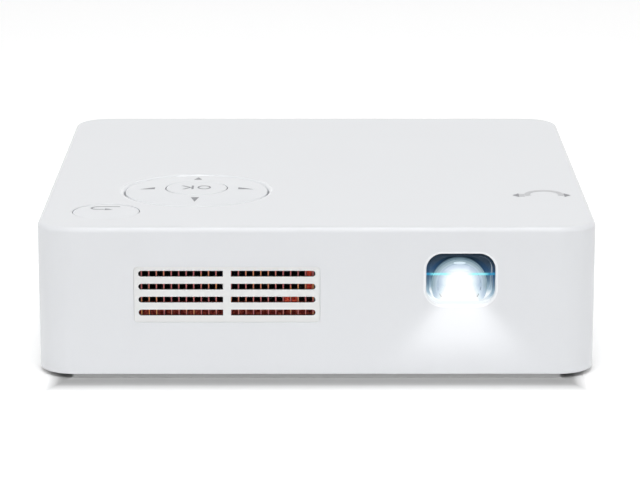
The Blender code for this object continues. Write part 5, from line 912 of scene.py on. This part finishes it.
class PROJECTOR_OT_case(ModelStep, bpy.types.Operator):
    """Model the white case with its openings"""

    bl_idname = "projector.case"
    bl_label = "Case"

    def build(self, scene):
        case = scene.projector_case
        shell = block("case_shell", CASE_LOW, CASE_HIGH)
        round_over(shell, lies_along("Z"), case.corner, 20)
        round_over(shell, lies_at("Z", TOP), case.fillet, 6)
        round_over(shell, lies_at("Z", CASE_LOW.z), case.rim, 3)
        wall = Vector((case.wall, case.wall, 0))
        hollow = slab(
            "hollow",
            CASE_LOW + wall - Vector((0, 0, 1 * MM)),
            CASE_HIGH - wall - Vector((0, 0, case.top_wall)),
            "Z",
            case.corner - case.wall,
            14,
        )
        cut(shell, hollow)
        self.open_front(scene, shell)
        self.open_top(scene, shell)
        self.open_sides(scene, shell)
        self.open_rear(scene, shell)
        placed(shell, "root", "white_shell", "white_shell", "top_cover")
        straight = CASE_HIGH.xy - Vector((case.corner, case.corner))
        skin = case.corner - case.wall * 0.7

        # Painted shade: the faces inside the case, within its walls and under its top, get the near-black
        # finish.
        def inside(face):
            past = Vector(max(0, abs(place) - limit) for place, limit in zip(face.center.xy, straight))
            return past.length < skin and face.center.z < TOP - case.top_wall * 0.95

        painted(shell, "inside_coat", inside)
        lens = scene.projector_lens
        window = window_middle(lens, FRONT)
        round_it = Vector((1.4, 2.4, 1.4)) * lens.chamfer
        reach = Vector((lens.width, 0, lens.height)) / 2 + round_it

        # Painted glow: the rounded faces round the lens window get the faintly glowing white.
        def painted_glow(face):
            off = face.center - window
            near = all(abs(part) < limit for part, limit in zip(off, reach))
            return near and abs(face.normal.y) < 0.999

        painted(shell, "lit_edge", painted_glow)
        keys = scene.projector_keys
        rim = keys.ring + keys.gap + keys.ring_edge

        # Painted highlight: the rounded rim round the four-way ring gets a lighter, glossier white.
        def highlight_rim(face):
            reach = (face.center - PAD).xy.length
            return reach < rim + 0.01 * MM and -keys.ring_edge < face.center.z - TOP < -0.001 * MM

        painted(shell, "polished_edge", highlight_rim)

    def open_front(self, scene, shell):
        """Openings for the vent insert and the lens."""
        case = scene.projector_case
        vent = scene.projector_vent
        lens = scene.projector_lens
        near, far = FRONT - OVERRUN, FRONT + case.wall + OVERRUN
        vent_half = Vector((vent.width, 0, vent.height)) / 2 + HEAD_ON * vent.gap
        cut(shell, plug("vent_opening", VENT, vent_half, near, far, 0.9 * MM, 4))
        window = window_middle(lens, FRONT)
        half = Vector((lens.width, 0, lens.height)) / 2 + HEAD_ON * case.gap
        cut(shell, plug("lens_opening", window, half, near, far, lens.corner + case.gap, 12))
        round_over(shell, self.mouth(window, half, FRONT), lens.chamfer, 4)
        round_over(shell, self.mouth(VENT, vent_half, FRONT), case.hole_edge, 2)

    def mouth(self, middle, half, level):
        """Picks the edges round an opening in the front."""
        reach = half + Vector((0.05, 0, 0.05)) * MM

        def rule(edge):
            return all(
                abs(v.co.y - level) < CLOSE
                and abs(v.co.x - middle.x) < reach.x
                and abs(v.co.z - middle.z) < reach.z
                for v in edge.verts
            )

        return rule

    def open_top(self, scene, shell):
        """Round holes for the keys, with softened edges."""
        case = scene.projector_case
        keys = scene.projector_keys
        for middle, radius, edge in (
            (PAD, keys.ring + keys.gap, keys.ring_edge),
            (BACK_KEY, keys.back + keys.gap, case.hole_edge),
        ):
            cut(shell, drum("key_hole", middle, "Z", radius, TOP - 5 * MM, TOP + 1 * MM, 96))

            def rule(edge, middle=middle, radius=radius):
                return all(
                    abs(v.co.z - TOP) < CLOSE
                    and abs((v.co - middle).xy.length - radius) < 0.05 * MM
                    for v in edge.verts
                )

            round_over(shell, rule, edge, 4)

    def open_sides(self, scene, shell):
        """Fan slots on the left, and the wheel's slot and the speaker's holes on the right."""
        case = scene.projector_case
        vent = scene.projector_vent
        left = CASE_LOW.x
        right = CASE_HIGH.x
        for row in range(-3, 4):
            place = (FAN.y, FAN.z + row * vent.pitch, left - OVERRUN, left + case.wall + OVERRUN)
            cut_slots(shell, vent, place, vent.side_length, "Y", "X", 5)
        half_slot, slot_below, slot_above, slot_corner = 8.47 * MM, 4.1 * MM, 0.6 * MM, 2.34 * MM
        near, far = right - case.wall - OVERRUN, right + OVERRUN
        low = (near, WHEEL.y - half_slot, WHEEL_TOP - slot_below)
        high = (far, WHEEL.y + half_slot, WHEEL_TOP + slot_above)
        cut(shell, slab("wheel_slot", low, high, "X", slot_corner))
        for ring in range(3):
            holes = max(1, 6 * ring)
            for step in range(holes):
                angle = FULL_TURN * step / holes
                place = SPEAKER + Vector((0, math.cos(angle), math.sin(angle))) * ring * case.speaker_pitch
                cut(shell, drum("speaker_hole", place, "X", case.speaker_hole, near, far, 24))

    def open_rear(self, scene, shell):
        """Openings for the sockets, the switch and the infra-red window."""
        case = scene.projector_case
        near, far = BACK - case.wall - OVERRUN, BACK + OVERRUN
        gap = case.gap
        window = Vector((5 * MM, 0, 2.3 * MM)) + HEAD_ON * gap
        round_end = window.z * 0.998
        cut(shell, plug("infra_red_opening", middle_of("ir_window"), window, near, far, round_end))
        for node, rule, width, steps in (
            ("usb_port", lies_along("Y"), 0.6 * MM, 4),
            ("hdmi_port", self.lower_corners, 1.9 * MM, 1),
        ):
            low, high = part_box(node)
            low = Vector((low.x - gap, near, low.z - gap))
            opening = block(node + "_opening", low, (high.x + gap, far, high.z + gap))
            round_over(opening, rule, width, steps)
            cut(shell, opening)
        for node, (collar, _) in ROUND_SOCKETS.items():
            cut(shell, drum(node + "_opening", middle_of(node), "Y", collar + gap, near, far))
        travel = AXES["X"] * 3 * MM
        half = Vector((2.75 * MM, 0, 1.3 * MM)) + travel / 2 + HEAD_ON * gap
        slide = middle_of("power_switch_knob") + travel / 2
        cut(shell, plug("switch_opening", slide, half, near, far, 0.6 * MM, 4))

    def lower_corners(self, edge):
        """Picks the two lower edges, from front to back, of the wide socket's opening."""
        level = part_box("hdmi_port")[0].z - bpy.context.scene.projector_case.gap
        return both(lies_at("Z", level), lies_along("Y"))(edge)


def row_level(vent, row):
    """The height of a row of slots in the front, counted from below."""
    return VENT.z + vent.rise + (row - 1.5) * vent.pitch


class PROJECTOR_OT_vent(ModelStep, bpy.types.Operator):
    """Model the slotted insert in the front"""

    bl_idname = "projector.vent"
    bl_label = "Vent insert"

    def build(self, scene):
        vent = scene.projector_vent
        face = FRONT + vent.recess
        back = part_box("vent_grille")[1].y
        half = Vector((vent.width, 0, vent.height)) / 2
        insert = plug("vent_insert", VENT, half, face, back, 0.6 * MM, 5)
        round_over(insert, lies_at("Y", face), 0.08 * MM, 2)
        flange = plug("vent_flange", VENT, half + HEAD_ON * 1.8 * MM, back - 0.8 * MM, back, 0.9 * MM, 4)
        apply(insert, "BOOLEAN", operation="UNION", solver="EXACT", object=flange)
        bpy.data.objects.remove(flange)
        inner = half - HEAD_ON * MM
        cut(insert, plug("vent_pocket", VENT, inner, face + vent.web, back + OVERRUN, 0.5 * MM, 3))
        for row in range(4):
            place = (VENT.x, row_level(vent, row), face - OVERRUN, back + OVERRUN)
            cut_slots(insert, vent, place, vent.slot_length, "X", "Y", 8)
        placed(insert, "root", "white_shell", "white_insert", "vent_grille")
        self.add_tabs(vent)

        # Painted shade: the slot walls and the faces behind the insert's front get the near-black finish.
        def hidden(part):
            return part.center.y > face + 0.35 * MM and part.normal.y > -0.5

        painted(insert, "inside_coat", hidden)

    def add_tabs(self, vent):
        """Red copper between some fins, seen through the slots."""
        tabs = []
        for cell, row in ((20, 1), (21, 1), (23, 2), (23, 3)):
            left = FINS_LOW.x + FIN_THICKNESS + 0.05 * MM + cell * FIN_PITCH
            level = row_level(vent, row)
            corner = (left, FINS_LOW.y + 0.3 * MM, level - vent.slot_height)
            far = (left + FIN_PITCH - 0.6 * MM, FINS_LOW.y + 1.5 * MM, level + vent.slot_height)
            tabs.append(block("tab", corner, far))
            round_sharp(tabs[-1], 0.15 * MM)
        placed(weld("copper_tabs", *tabs), "root", "copper", "tab_copper")


class PROJECTOR_OT_lens(ModelStep, bpy.types.Operator):
    """Model the funnel round the lens, the ring on the barrel and the shining front lens"""

    bl_idname = "projector.lens"
    bl_label = "Lens"

    def build(self, scene):
        lens = scene.projector_lens
        self.make_funnel(lens)
        barrel_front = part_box("focus_barrel")[0].y
        middle = Vector((LENS.x, barrel_front, LENS.z))
        outer, lip = lens.barrel, lens.lip
        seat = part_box("lens_front_element")[0].y - barrel_front + 0.69 * MM
        sleeve, skin, front = outer + 0.05 * MM, 0.02 * MM, -0.2 * MM
        profile = [
            (outer - 0.3 * MM, front), (outer, 0.1 * MM), (sleeve, 0.35 * MM), (sleeve, 1.2 * MM),
            (outer + skin, 1.2 * MM), (outer + skin, -skin), (lip - skin, -skin), (lip - skin, seat),
            (lip - 3 * skin, seat), (lip - 3 * skin, -0.12 * MM), (lip + 0.1 * MM, front),
            (outer - 0.3 * MM, front),
        ]
        ring = turned("barrel_ring", middle, "Y", profile, 128)
        placed(ring, "focus_group", "black_plastic", "shining_lens")
        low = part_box("lens_front_element")[0]
        dome = [(lens.glass * step / 14, 0.9 * MM * (step / 14) ** 2) for step in range(15)]
        dome += [(lens.glass, 2.4 * MM), (lens.glass - 0.4 * MM, 2.9 * MM), (0, 2.9 * MM)]
        glass = turned("front_lens", Vector((LENS.x, low.y, LENS.z)), "Y", dome, 128)
        placed(glass, "focus_group", "glass", "shining_lens", "lens_front_element")

    def make_funnel(self, lens):
        """The dark funnel from the window to the round hole at the barrel."""
        let_go()
        window = window_middle(lens, FRONT + lens.recess)
        size = Vector((lens.width, 0, lens.height))
        inner = (size - HEAD_ON * MM, lens.corner - 0.5 * MM)
        straight = AXES["Y"] * 1.8 * MM
        throat = (Vector((17.6, 0, 16.4)) * MM, 7.5 * MM)
        levels = (
            (window, size, lens.corner),
            (window, *inner),
            (window + straight, *inner),
            (Vector((LENS.x, FRONT + 4.2 * MM, LENS.z + 0.4 * MM)), *throat),
            (Vector((LENS.x, FRONT + 7.2 * MM, LENS.z + 0.4 * MM)), *throat),
            (Vector((LENS.x, FRONT + 7.5 * MM, LENS.z)), HEAD_ON * 15.16 * MM, 7.579 * MM),
        )
        rings = [self.outline(f"funnel_ring_{number}", *level) for number, level in enumerate(levels)]
        points = len(rings[0].data.vertices)
        funnel = weld("lens_funnel", *rings)
        for number in range(len(levels) - 1):

            def pair(edge, number=number):
                ends = {vertex.index // points for vertex in edge.verts}
                return len(ends) == 1 and ends <= {number, number + 1}

            edited(funnel, bpy.ops.mesh.bridge_edge_loops, pair)
        edited(funnel, bpy.ops.mesh.remove_doubles, kind="FACE", threshold=CLOSE)
        edited(funnel, bpy.ops.mesh.normals_make_consistent, kind="FACE", inside=False)
        apply(funnel, "SOLIDIFY", thickness=0.8 * MM, offset=-1)
        placed(funnel, "root", "black_plastic", "lit_funnel", "lens_bezel", sharp=40 * DEGREE)

    def outline(self, name, middle, size, corner):
        """The edges of a rounded rectangle that faces the front."""
        bpy.ops.mesh.primitive_plane_add(size=1, location=middle, rotation=(math.pi / 2, 0, 0))
        bpy.context.active_object.scale = (size.x, size.z, 1)
        ring = settle(name)
        edited(ring, bpy.ops.mesh.bevel, kind="VERT", offset=corner, segments=15, affect="VERTICES")
        edited(ring, bpy.ops.mesh.delete, kind="FACE", type="ONLY_FACE")
        return ring


class PROJECTOR_OT_keys(ModelStep, bpy.types.Operator):
    """Model the four-way ring, the OK button and the back button"""

    bl_idname = "projector.keys"
    bl_label = "Keys"

    def build(self, scene):
        keys = scene.projector_keys
        edge = keys.edge
        hole = keys.button + keys.play
        outer = keys.ring
        start = hole + edge
        shoulder = 0.45 * MM
        span = outer - shoulder - start
        crown = [start + span * step / 16 for step in range(17)]
        crown = [(radius, dome_height(keys, radius)) for radius in crown]
        inner_level, outer_level = crown[0][1] - edge, crown[-1][1] - shoulder
        flange = outer + 1.5 * MM
        flange_top = PAD_TOP - TOP - 1.95 * MM
        flange_low = flange_top - 1 * MM
        skirt = outer - 0.3 * MM
        under = PAD_TOP - TOP - 2.4 * MM
        rim_inner, rim_outer, rim_low = 9.05 * MM, 10.5 * MM, under - 3.1 * MM
        profile = arc((start, inner_level), edge, 180, 90, 5)[:-1] + crown
        profile += arc((outer - shoulder, outer_level), shoulder, 90, 0, 6)[1:]
        profile += [(outer, flange_top), (flange, flange_top), (flange, flange_low), (skirt, flange_low)]
        profile += [(skirt, under), (rim_outer, under), (rim_outer, rim_low), (rim_inner, rim_low)]
        profile += [(rim_inner, under), (hole, under), (hole, inner_level)]
        ring = turned("key_ring", Vector((PAD.x, PAD.y, TOP)), "Z", profile, 160)
        placed(ring, "dpad_key", "white_key", "white_key", "dpad_ring")
        reach = keys.button - edge
        crown = [(reach * step / 8, dome_height(keys, reach * step / 8)) for step in range(9)]
        stem = (4.9 * MM, PAD_TOP - TOP - 1.9 * MM)
        self.make_button("ok_cap", PAD, crown, keys.button, edge, stem, "ok_key", "ok_button")
        sunk = BACK_TOP - TOP
        reach = keys.back - edge
        crown = [(reach * step / 8, sunk + 0.3 * MM * (1 - (step / 8) ** 2)) for step in range(9)]
        stem = (2.0 * MM, sunk - 3.2 * MM)
        self.make_button("back_cap", BACK_KEY, crown, keys.back, edge, stem, "back_key", "back_button")

    def make_button(self, name, middle, crown, radius, edge, stem, body, node):
        """A round button with a crowned top, on its stem; heights count from the case's top."""
        stem_radius, under = stem
        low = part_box(node)[0].z - TOP
        profile = crown[:-1] + arc((radius - edge, crown[-1][1] - edge), edge, 90, 0, 5)
        profile += [(radius, under), (stem_radius, under), (stem_radius, low), (0, low)]
        button = turned(name, Vector((middle.x, middle.y, TOP)), "Z", profile, 128)
        placed(button, body, "white_key", "white_key", node)


def dome_height(keys, radius):
    """How high the keypad's dome stands above the case's top, at a radius."""
    share = (radius / keys.ring) ** 2
    return keys.dome - (keys.dome + keys.sink) * (0.6 * share + 0.4 * share * share)


class PROJECTOR_OT_marks(ModelStep, bpy.types.Operator):
    """Print the marks on the keys and beside the focus wheel"""

    bl_idname = "projector.marks"
    bl_label = "Printed marks"

    def build(self, scene):
        above = AXES["Z"] * (TOP + 2 * MM)
        for name, turn, reach in (
            ("right", 0, 13.1), ("up", 90, 12.4), ("left", 180, 13.1), ("down", 270, 12.9)
        ):
            angle = turn * DEGREE
            away = Vector((math.cos(angle), math.sin(angle), 0)) * reach * MM
            mark = self.triangle(f"mark_{name}", PAD.xy.to_3d() + away + above, angle, 2.1 * MM, 1.15 * MM)
            self.printed(mark, "key_ring", "dpad_key", "ink")
        letters = [
            self.letter(body, Vector((PAD.x + shift, PAD.y, above.z)), width, 4.4 * MM)
            for body, shift, width in (("O", 2.15 * MM, 3.8 * MM), ("K", -2.6 * MM, 3.6 * MM))
        ]
        self.printed(weld("mark_ok", *letters), "ok_cap", "ok_key", "ink")
        self.return_mark(above.z)
        self.focus_mark(above.z)

    def printed(self, mark, carrier, body, ink, lift=0.015 * MM):
        """Lay a flat mark on the piece that carries it, and give it the ink's thickness."""
        thickness = bpy.context.scene.projector_keys.ink
        downward = {"use_project_z": True, "use_negative_direction": True, "use_positive_direction": False}
        target = bpy.data.objects[carrier]
        apply(mark, "SHRINKWRAP", target=target, wrap_method="PROJECT", offset=lift, **downward)
        apply(mark, "SOLIDIFY", thickness=thickness, offset=1)
        edited(mark, bpy.ops.mesh.normals_make_consistent, kind="FACE", inside=False)
        placed(mark, body, "grey_plastic", ink, sharp=None)

    def letter(self, body, middle, width, height):
        """One flat letter, turned to be read from behind and brought to its size."""
        let_go()
        bpy.ops.object.text_add(location=(0, 0, 0), rotation=(0, 0, math.pi))
        words = bpy.context.active_object
        words.data.body = body
        words.data.size = height
        bpy.ops.object.convert(target="MESH")
        letter = settle(f"letter_{body}")
        low, high = (Vector(map(end, *(v.co for v in letter.data.vertices))) for end in (min, max))
        scale = Vector((width / (high.x - low.x), height / (high.y - low.y), 1))
        letter.scale = scale
        letter = settle(letter.name)
        letter.location = middle - (low + high) / 2 * scale
        return settle(letter.name)

    def triangle(self, name, place, angle, reach, half):
        """A flat triangle whose tip points along an angle."""
        let_go()
        bpy.ops.mesh.primitive_circle_add(
            vertices=3, radius=1, fill_type="NGON", location=place, rotation=(0, 0, angle - math.pi / 2)
        )
        mark = bpy.context.active_object
        mark.scale = (half / 0.866, reach * 2 / 1.5, 1)
        mark = settle(name)
        edited(mark, bpy.ops.mesh.poke, kind="FACE")
        edited(mark, bpy.ops.mesh.subdivide, kind="FACE", number_cuts=5)
        return mark

    def bar(self, name, low, high, level):
        """A flat printed bar."""
        let_go()
        place = ((low[0] + high[0]) / 2, (low[1] + high[1]) / 2, level)
        bpy.ops.mesh.primitive_plane_add(size=1, location=place)
        bpy.context.active_object.scale = (high[0] - low[0], high[1] - low[1], 1)
        bar = settle(name)
        edited(bar, bpy.ops.mesh.subdivide, number_cuts=5)
        return bar

    def half_ring(self, name, middle, radius, width, angle, turn):
        """Part of a flat printed ring, from an angle on, counter-clockwise."""
        profile = [(radius - width / 2, 0), (radius + width / 2, 0)]
        part = turned(name, middle, "Z", profile, 40, -turn, closed=False)
        edited(part, bpy.ops.transform.rotate, value=-angle, orient_axis="Z", center_override=middle)
        return part

    def return_mark(self, above):
        """The bent arrow on the back button."""
        middle = Vector((BACK_KEY.x, BACK_KEY.y + 3.4 * MM, above))
        thick = 0.6 * MM
        radius = 1.85 * MM
        left = middle.x - 2.3 * MM
        long_end = middle.x + 3.5 * MM
        short_end = middle.x - 0.6 * MM
        upper = middle.y + radius
        lower = middle.y - radius
        head = Vector((short_end + 0.9 * MM, lower, above))
        half = thick / 2
        bend = Vector((left, middle.y, above))
        parts = [
            self.bar("upper_bar", (left, upper - half), (long_end, upper + half), above),
            self.bar("lower_bar", (left, lower - half), (short_end, lower + half), above),
            self.half_ring("bend", bend, radius, thick, math.pi / 2, math.pi),
            self.triangle("head", head, 0, 1.1 * MM, 1.1 * MM),
        ]
        self.printed(weld("mark_return", *parts), "back_cap", "back_key", "ink")

    def focus_mark(self, above):
        """The faint arc beside the focus wheel, and its two darker heads."""
        radius, width = 4.7 * MM, 1.6 * MM
        middle = Vector((WHEEL.x + 0.5 * MM, WHEEL.y + 4.1 * MM, above))
        low, high = middle.y - 2.6 * MM, middle.y + 0.6 * MM
        faint = [self.half_ring("arc", middle, radius, width, -18 * DEGREE, 216 * DEGREE)]
        heads = []
        start = radius + width / 2 + 0.03 * MM
        head, half_head = 0.9 * MM, 2.1 * MM
        for side, reach in ((-1, 8.5 * MM), (1, 6.9 * MM)):
            ends = sorted((middle.x + side * start, middle.x + side * (reach - head)))
            faint.append(self.bar(f"band_{side}", (ends[0], low), (ends[1], high), above))
            place = Vector((middle.x + side * (reach - 0.8 * MM), (low + high) / 2, above))
            angle = 0 if side > 0 else math.pi
            heads.append(self.triangle(f"head_{side}", place, angle, head, half_head))
        self.printed(weld("mark_focus_arc", *faint), "case_shell", "root", "faint_ink")
        self.printed(weld("mark_focus", *heads), "case_shell", "root", "ink", 0.04 * MM)


class PROJECTOR_OT_underside(ModelStep, bpy.types.Operator):
    """Model the rubber feet and the brass tripod insert"""

    bl_idname = "projector.underside"
    bl_label = "Feet and insert"

    def build(self, scene):
        low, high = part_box("rubber_foot_1")
        radius = (high.x - low.x) / 2
        depth = high.z - low.z
        edge = 0.35 * MM
        profile = [(0, 0.12 * MM), (radius - 1.6 * MM, 0.12 * MM), (radius - 1.4 * MM, 0)]
        profile += arc((radius - edge, edge), edge, -90, 0, 5) + [(radius, depth), (0, depth)]
        first = (low + high) / 2
        foot = turned("foot_1", Vector((first.x, first.y, low.z)), "Z", profile, 72)
        feet = [foot]
        for number in (2, 3, 4):
            shift = middle_of(f"rubber_foot_{number}") - first
            feet.append(copied(foot, f"foot_{number}", shift))
        for number, made in enumerate(feet, 1):
            placed(made, "root", "rubber", "rubber", f"rubber_foot_{number}")
        low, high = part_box("tripod_insert")
        reach = high.z - low.z
        bore = 2.6 * MM
        outer = (high.x - low.x) / 2
        groove, pitch = outer - 0.6 * MM, 0.75 * MM
        profile = [(0, reach), (outer - 0.3 * MM, reach), (outer, reach - 0.3 * MM)]
        profile += [(outer, reach * 0.6), (groove, reach * 0.6), (groove, reach * 0.4)]
        profile += [(outer, reach * 0.4), (outer, 0.2 * MM), (outer - 0.2 * MM, 0), (bore + 0.5 * MM, 0)]
        for turn in range(7):
            level = 0.5 * MM + turn * pitch
            profile += [(bore, level), (bore + 0.28 * MM, level + pitch / 2)]
        profile += [(bore, 5.75 * MM), (0, 6 * MM)]
        insert = turned("brass_insert", Vector((0, 0, low.z)), "Z", profile, 80)
        placed(insert, "root", "brass", "brass", "tripod_insert")


class PROJECTOR_OT_sockets(ModelStep, bpy.types.Operator):
    """Model the round sockets and the contacts in the flat ones"""

    bl_idname = "projector.sockets"
    bl_label = "Sockets"

    def build(self, scene):
        for node, (collar, bore) in ROUND_SOCKETS.items():
            self.round_socket(node, collar, bore)
        for node, name, lift, row in (
            ("usb_port", "usb_contacts", -0.12 * MM, (4, 2.3 * MM, 1.2 * MM)),
            ("hdmi_port", "hdmi_contacts", 0.4 * MM, (10, 1.0 * MM, 0.45 * MM)),
        ):
            self.contacts(name, middle_of(node) + AXES["Z"] * lift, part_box(node)[1].y, *row)

    def round_socket(self, node, collar, bore):
        """A block behind the wall with a collar through it and a lined bore."""
        low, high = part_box(node)
        middle = (low + high) / 2
        body_back = BACK - 3 * MM
        sunk = -7 * MM
        body = block(node + "_block", low, (high.x, body_back, high.z))
        round_sharp(body, 0.3 * MM)
        reach = high.y - body_back
        profile = [(bore, sunk), (bore, reach - 0.35 * MM), (bore + 0.3 * MM, reach)]
        profile += [(collar - 0.25 * MM, reach), (collar, reach - 0.25 * MM), (collar, -0.5 * MM)]
        profile += [(collar, sunk), (bore, sunk)]
        place = Vector((middle.x, body_back, middle.z))
        cut(body, drum("socket_seat", middle, "Y", collar - 0.05 * MM, low.y + 1.5 * MM, high.y + 1 * MM))
        sleeve = turned(node + "_sleeve", place, "Y", profile, 72)
        socket = weld(node + "_socket", body, sleeve)
        placed(socket, "root", "black_plastic", "black_plastic", node)
        if node == "dc_jack":
            tip, foot, radius, edge = reach - 2 * MM, -9 * MM, 0.8 * MM, 0.6 * MM
            profile = [(0, foot), (radius, foot), (radius, tip - edge)]
            profile += arc((radius - edge, tip - edge), edge, 0, 90, 6) + [(0, tip)]
            pin = turned("dc_pin", place, "Y", profile, 40)
        else:
            flush, deep = reach + 0.02 * MM, reach - 0.9 * MM
            profile = [(bore, deep), (bore, reach - 0.35 * MM), (bore + 0.3 * MM, flush)]
            profile += [(bore + 0.55 * MM, flush), (bore + 0.55 * MM, deep), (bore, deep)]
            pin = turned("audio_collar", place, "Y", profile, 72)
        placed(pin, "root", "steel", "gold" if node == "audio_jack" else "steel")

    def contacts(self, name, middle, mouth, count, pitch, width):
        """Rows of gold strips on a socket's tongue."""
        first = middle.x - (count - 1) / 2 * pitch
        low = (first - width / 2, mouth - 8 * MM, middle.z - 0.06 * MM)
        high = (first + width / 2, mouth - 2.2 * MM, middle.z + 0.12 * MM)
        strip = block(name + "_strip", low, high)
        round_over(strip, lies_along("X"), 0.05 * MM, 2)
        strips = [strip]
        for number in range(1, count):
            strips.append(copied(strip, f"{name}_{number}", (number * pitch, 0, 0)))
        placed(weld(name, *strips), "root", "brass", "gold")


class PROJECTOR_OT_stage(ModelStep, bpy.types.Operator):
    """Lay the pale floor, hang the lamps and set the camera"""

    bl_idname = "projector.stage"
    bl_label = "Stage"

    def build(self, scene):
        stage = scene.projector_stage
        let_go()
        bpy.ops.mesh.primitive_plane_add(size=8, location=(0, 0, 0))
        floor = settle("studio_floor")
        floor.data.materials.append(studio_floor())
        turn = (math.pi / 2 - stage.pitch, 0, -stage.yaw)
        bpy.ops.object.camera_add(location=(0, -stage.distance, stage.height), rotation=turn)
        camera = bpy.context.active_object
        camera.data.lens = stage.lens
        camera.data.clip_start = 0.01
        scene.camera = camera
        for name, place, aim, size, watts in (
            ("overhead_lamp", (0.0, -0.3, 1.5), (0, 0, 0), 0.7, 8.9),
            ("front_lamp", (0.0, -1.6, 0.6), (0, 0, 0.02), 1.0, 4.9),
            ("left_lamp", (-1.5, -0.4, 0.9), (0, 0, 0.02), 1.0, 1.8),
            ("right_lamp", (1.5, -0.2, 0.9), (0, 0, 0.02), 1.0, 1.8),
        ):
            self.hang(name, Vector(place), Vector(aim), size, watts * stage.lamp)
        self.hang_glow(stage.glow)
        self.light_world(scene, stage.sky)
        scene.view_settings.view_transform = "Standard"

    def hang(self, name, place, aim, size, watts):
        """A square soft lamp."""
        turn = (aim - place).to_track_quat("-Z", "Y").to_euler()
        bpy.ops.object.light_add(type="AREA", location=place, rotation=turn)
        lamp = bpy.context.active_object
        lamp.name = name
        lamp.data.size = size
        lamp.data.energy = watts

    def hang_glow(self, strength):
        """The light that the lens throws on the front below it: a fan that widens and then fades."""
        before_lens = Vector((0.3, -13, 5)) * MM
        bpy.ops.object.light_add(type="SPOT", location=Vector((LENS.x, FRONT, LENS.z)) + before_lens)
        lamp = bpy.context.active_object
        lamp.name = "lens_glow"
        lamp.data.energy = strength
        lamp.data.spot_size = 130 * DEGREE
        lamp.data.spot_blend = 0.3
        lamp.data.shadow_soft_size = 1.5 * MM
        lamp.visible_camera = False
        lamp.visible_glossy = False
        lamp.data.use_nodes = True
        fan = Finish.on(lamp.data.node_tree)
        direction = fan.node("ShaderNodeTexCoord", {}, {}, "Normal")
        x = fan.node("ShaderNodeSeparateXYZ", {}, {0: direction}, "X")
        steep = x.other("Y") / x.other("Z") * -1
        fade = fan.greys(steep, (0.47, 0), (0.51, 0.1), (0.57, 0.37), (0.66, 0.82), (0.8, 1))
        spread = fan.greys(abs(x / x.other("Z")), (0.4, 1), (0.62, 0.7), (0.95, 0))
        falloff = fan.node("ShaderNodeLightFalloff", {}, {"Strength": 1.0}, "Constant")
        strength = falloff * fade * spread
        fan.tree.links.new(strength.socket, fan.tree.nodes["Emission"].inputs["Strength"])

    def light_world(self, scene, strength):
        """Soft light from all round, white where the camera looks past the floor."""
        world = bpy.data.worlds.new("studio")
        scene.world = world
        world.use_nodes = True
        sky = Finish.on(world.node_tree)
        background = sky.tree.nodes["Background"]
        background.inputs["Color"].default_value = (1, 1, 1, 1)
        background.inputs["Strength"].default_value = strength
        dim = Reading(sky, background.outputs[0])
        white = sky.node("ShaderNodeBackground", {}, {"Color": (1, 1, 1, 1)})
        mixed = sky.node("ShaderNodeMixShader", {}, {0: sky.seen(), 1: dim, 2: white})
        sky.tree.links.new(mixed.socket, sky.tree.nodes["World Output"].inputs["Surface"])


class PROJECTOR_PT_panel(bpy.types.Panel):
    """The projector's operators and sizes"""

    bl_idname = "PROJECTOR_PT_panel"
    bl_label = "Projector"
    bl_space_type = "VIEW_3D"
    bl_region_type = "UI"
    bl_category = "Projector"

    def draw(self, context):
        for group in GROUPS:
            settings = getattr(context.scene, group)
            box = self.layout.box()
            for name in settings.bl_rna.properties.keys():
                if name not in ("rna_type", "name"):
                    box.prop(settings, name)
        for operator in OPERATORS:
            self.layout.operator(operator.bl_idname)


GROUPS = {
    "projector_case": CaseSizes,
    "projector_vent": VentSizes,
    "projector_lens": LensSizes,
    "projector_keys": KeySizes,
    "projector_colours": Colours,
    "projector_stage": StageSettings,
}
OPERATORS = (
    PROJECTOR_OT_stage,
    PROJECTOR_OT_finishes,
    PROJECTOR_OT_case,
    PROJECTOR_OT_vent,
    PROJECTOR_OT_lens,
    PROJECTOR_OT_keys,
    PROJECTOR_OT_marks,
    PROJECTOR_OT_underside,
    PROJECTOR_OT_sockets,
)


def register():
    """Register the classes and hang the settings on the scene."""
    for group, settings in GROUPS.items():
        bpy.utils.register_class(settings)
        setattr(bpy.types.Scene, group, bpy.props.PointerProperty(type=settings))
    for kind in (*OPERATORS, PROJECTOR_PT_panel):
        bpy.utils.register_class(kind)


def unregister():
    """Undo what register did."""
    for kind in (PROJECTOR_PT_panel, *reversed(OPERATORS)):
        bpy.utils.unregister_class(kind)
    for group, settings in reversed(GROUPS.items()):
        delattr(bpy.types.Scene, group)
        bpy.utils.unregister_class(settings)


def main():
    register()
    for operator in OPERATORS:
        group, name = operator.bl_idname.split(".")
        getattr(getattr(bpy.ops, group), name)()
    let_go()


if __name__ == "__main__":
    main()
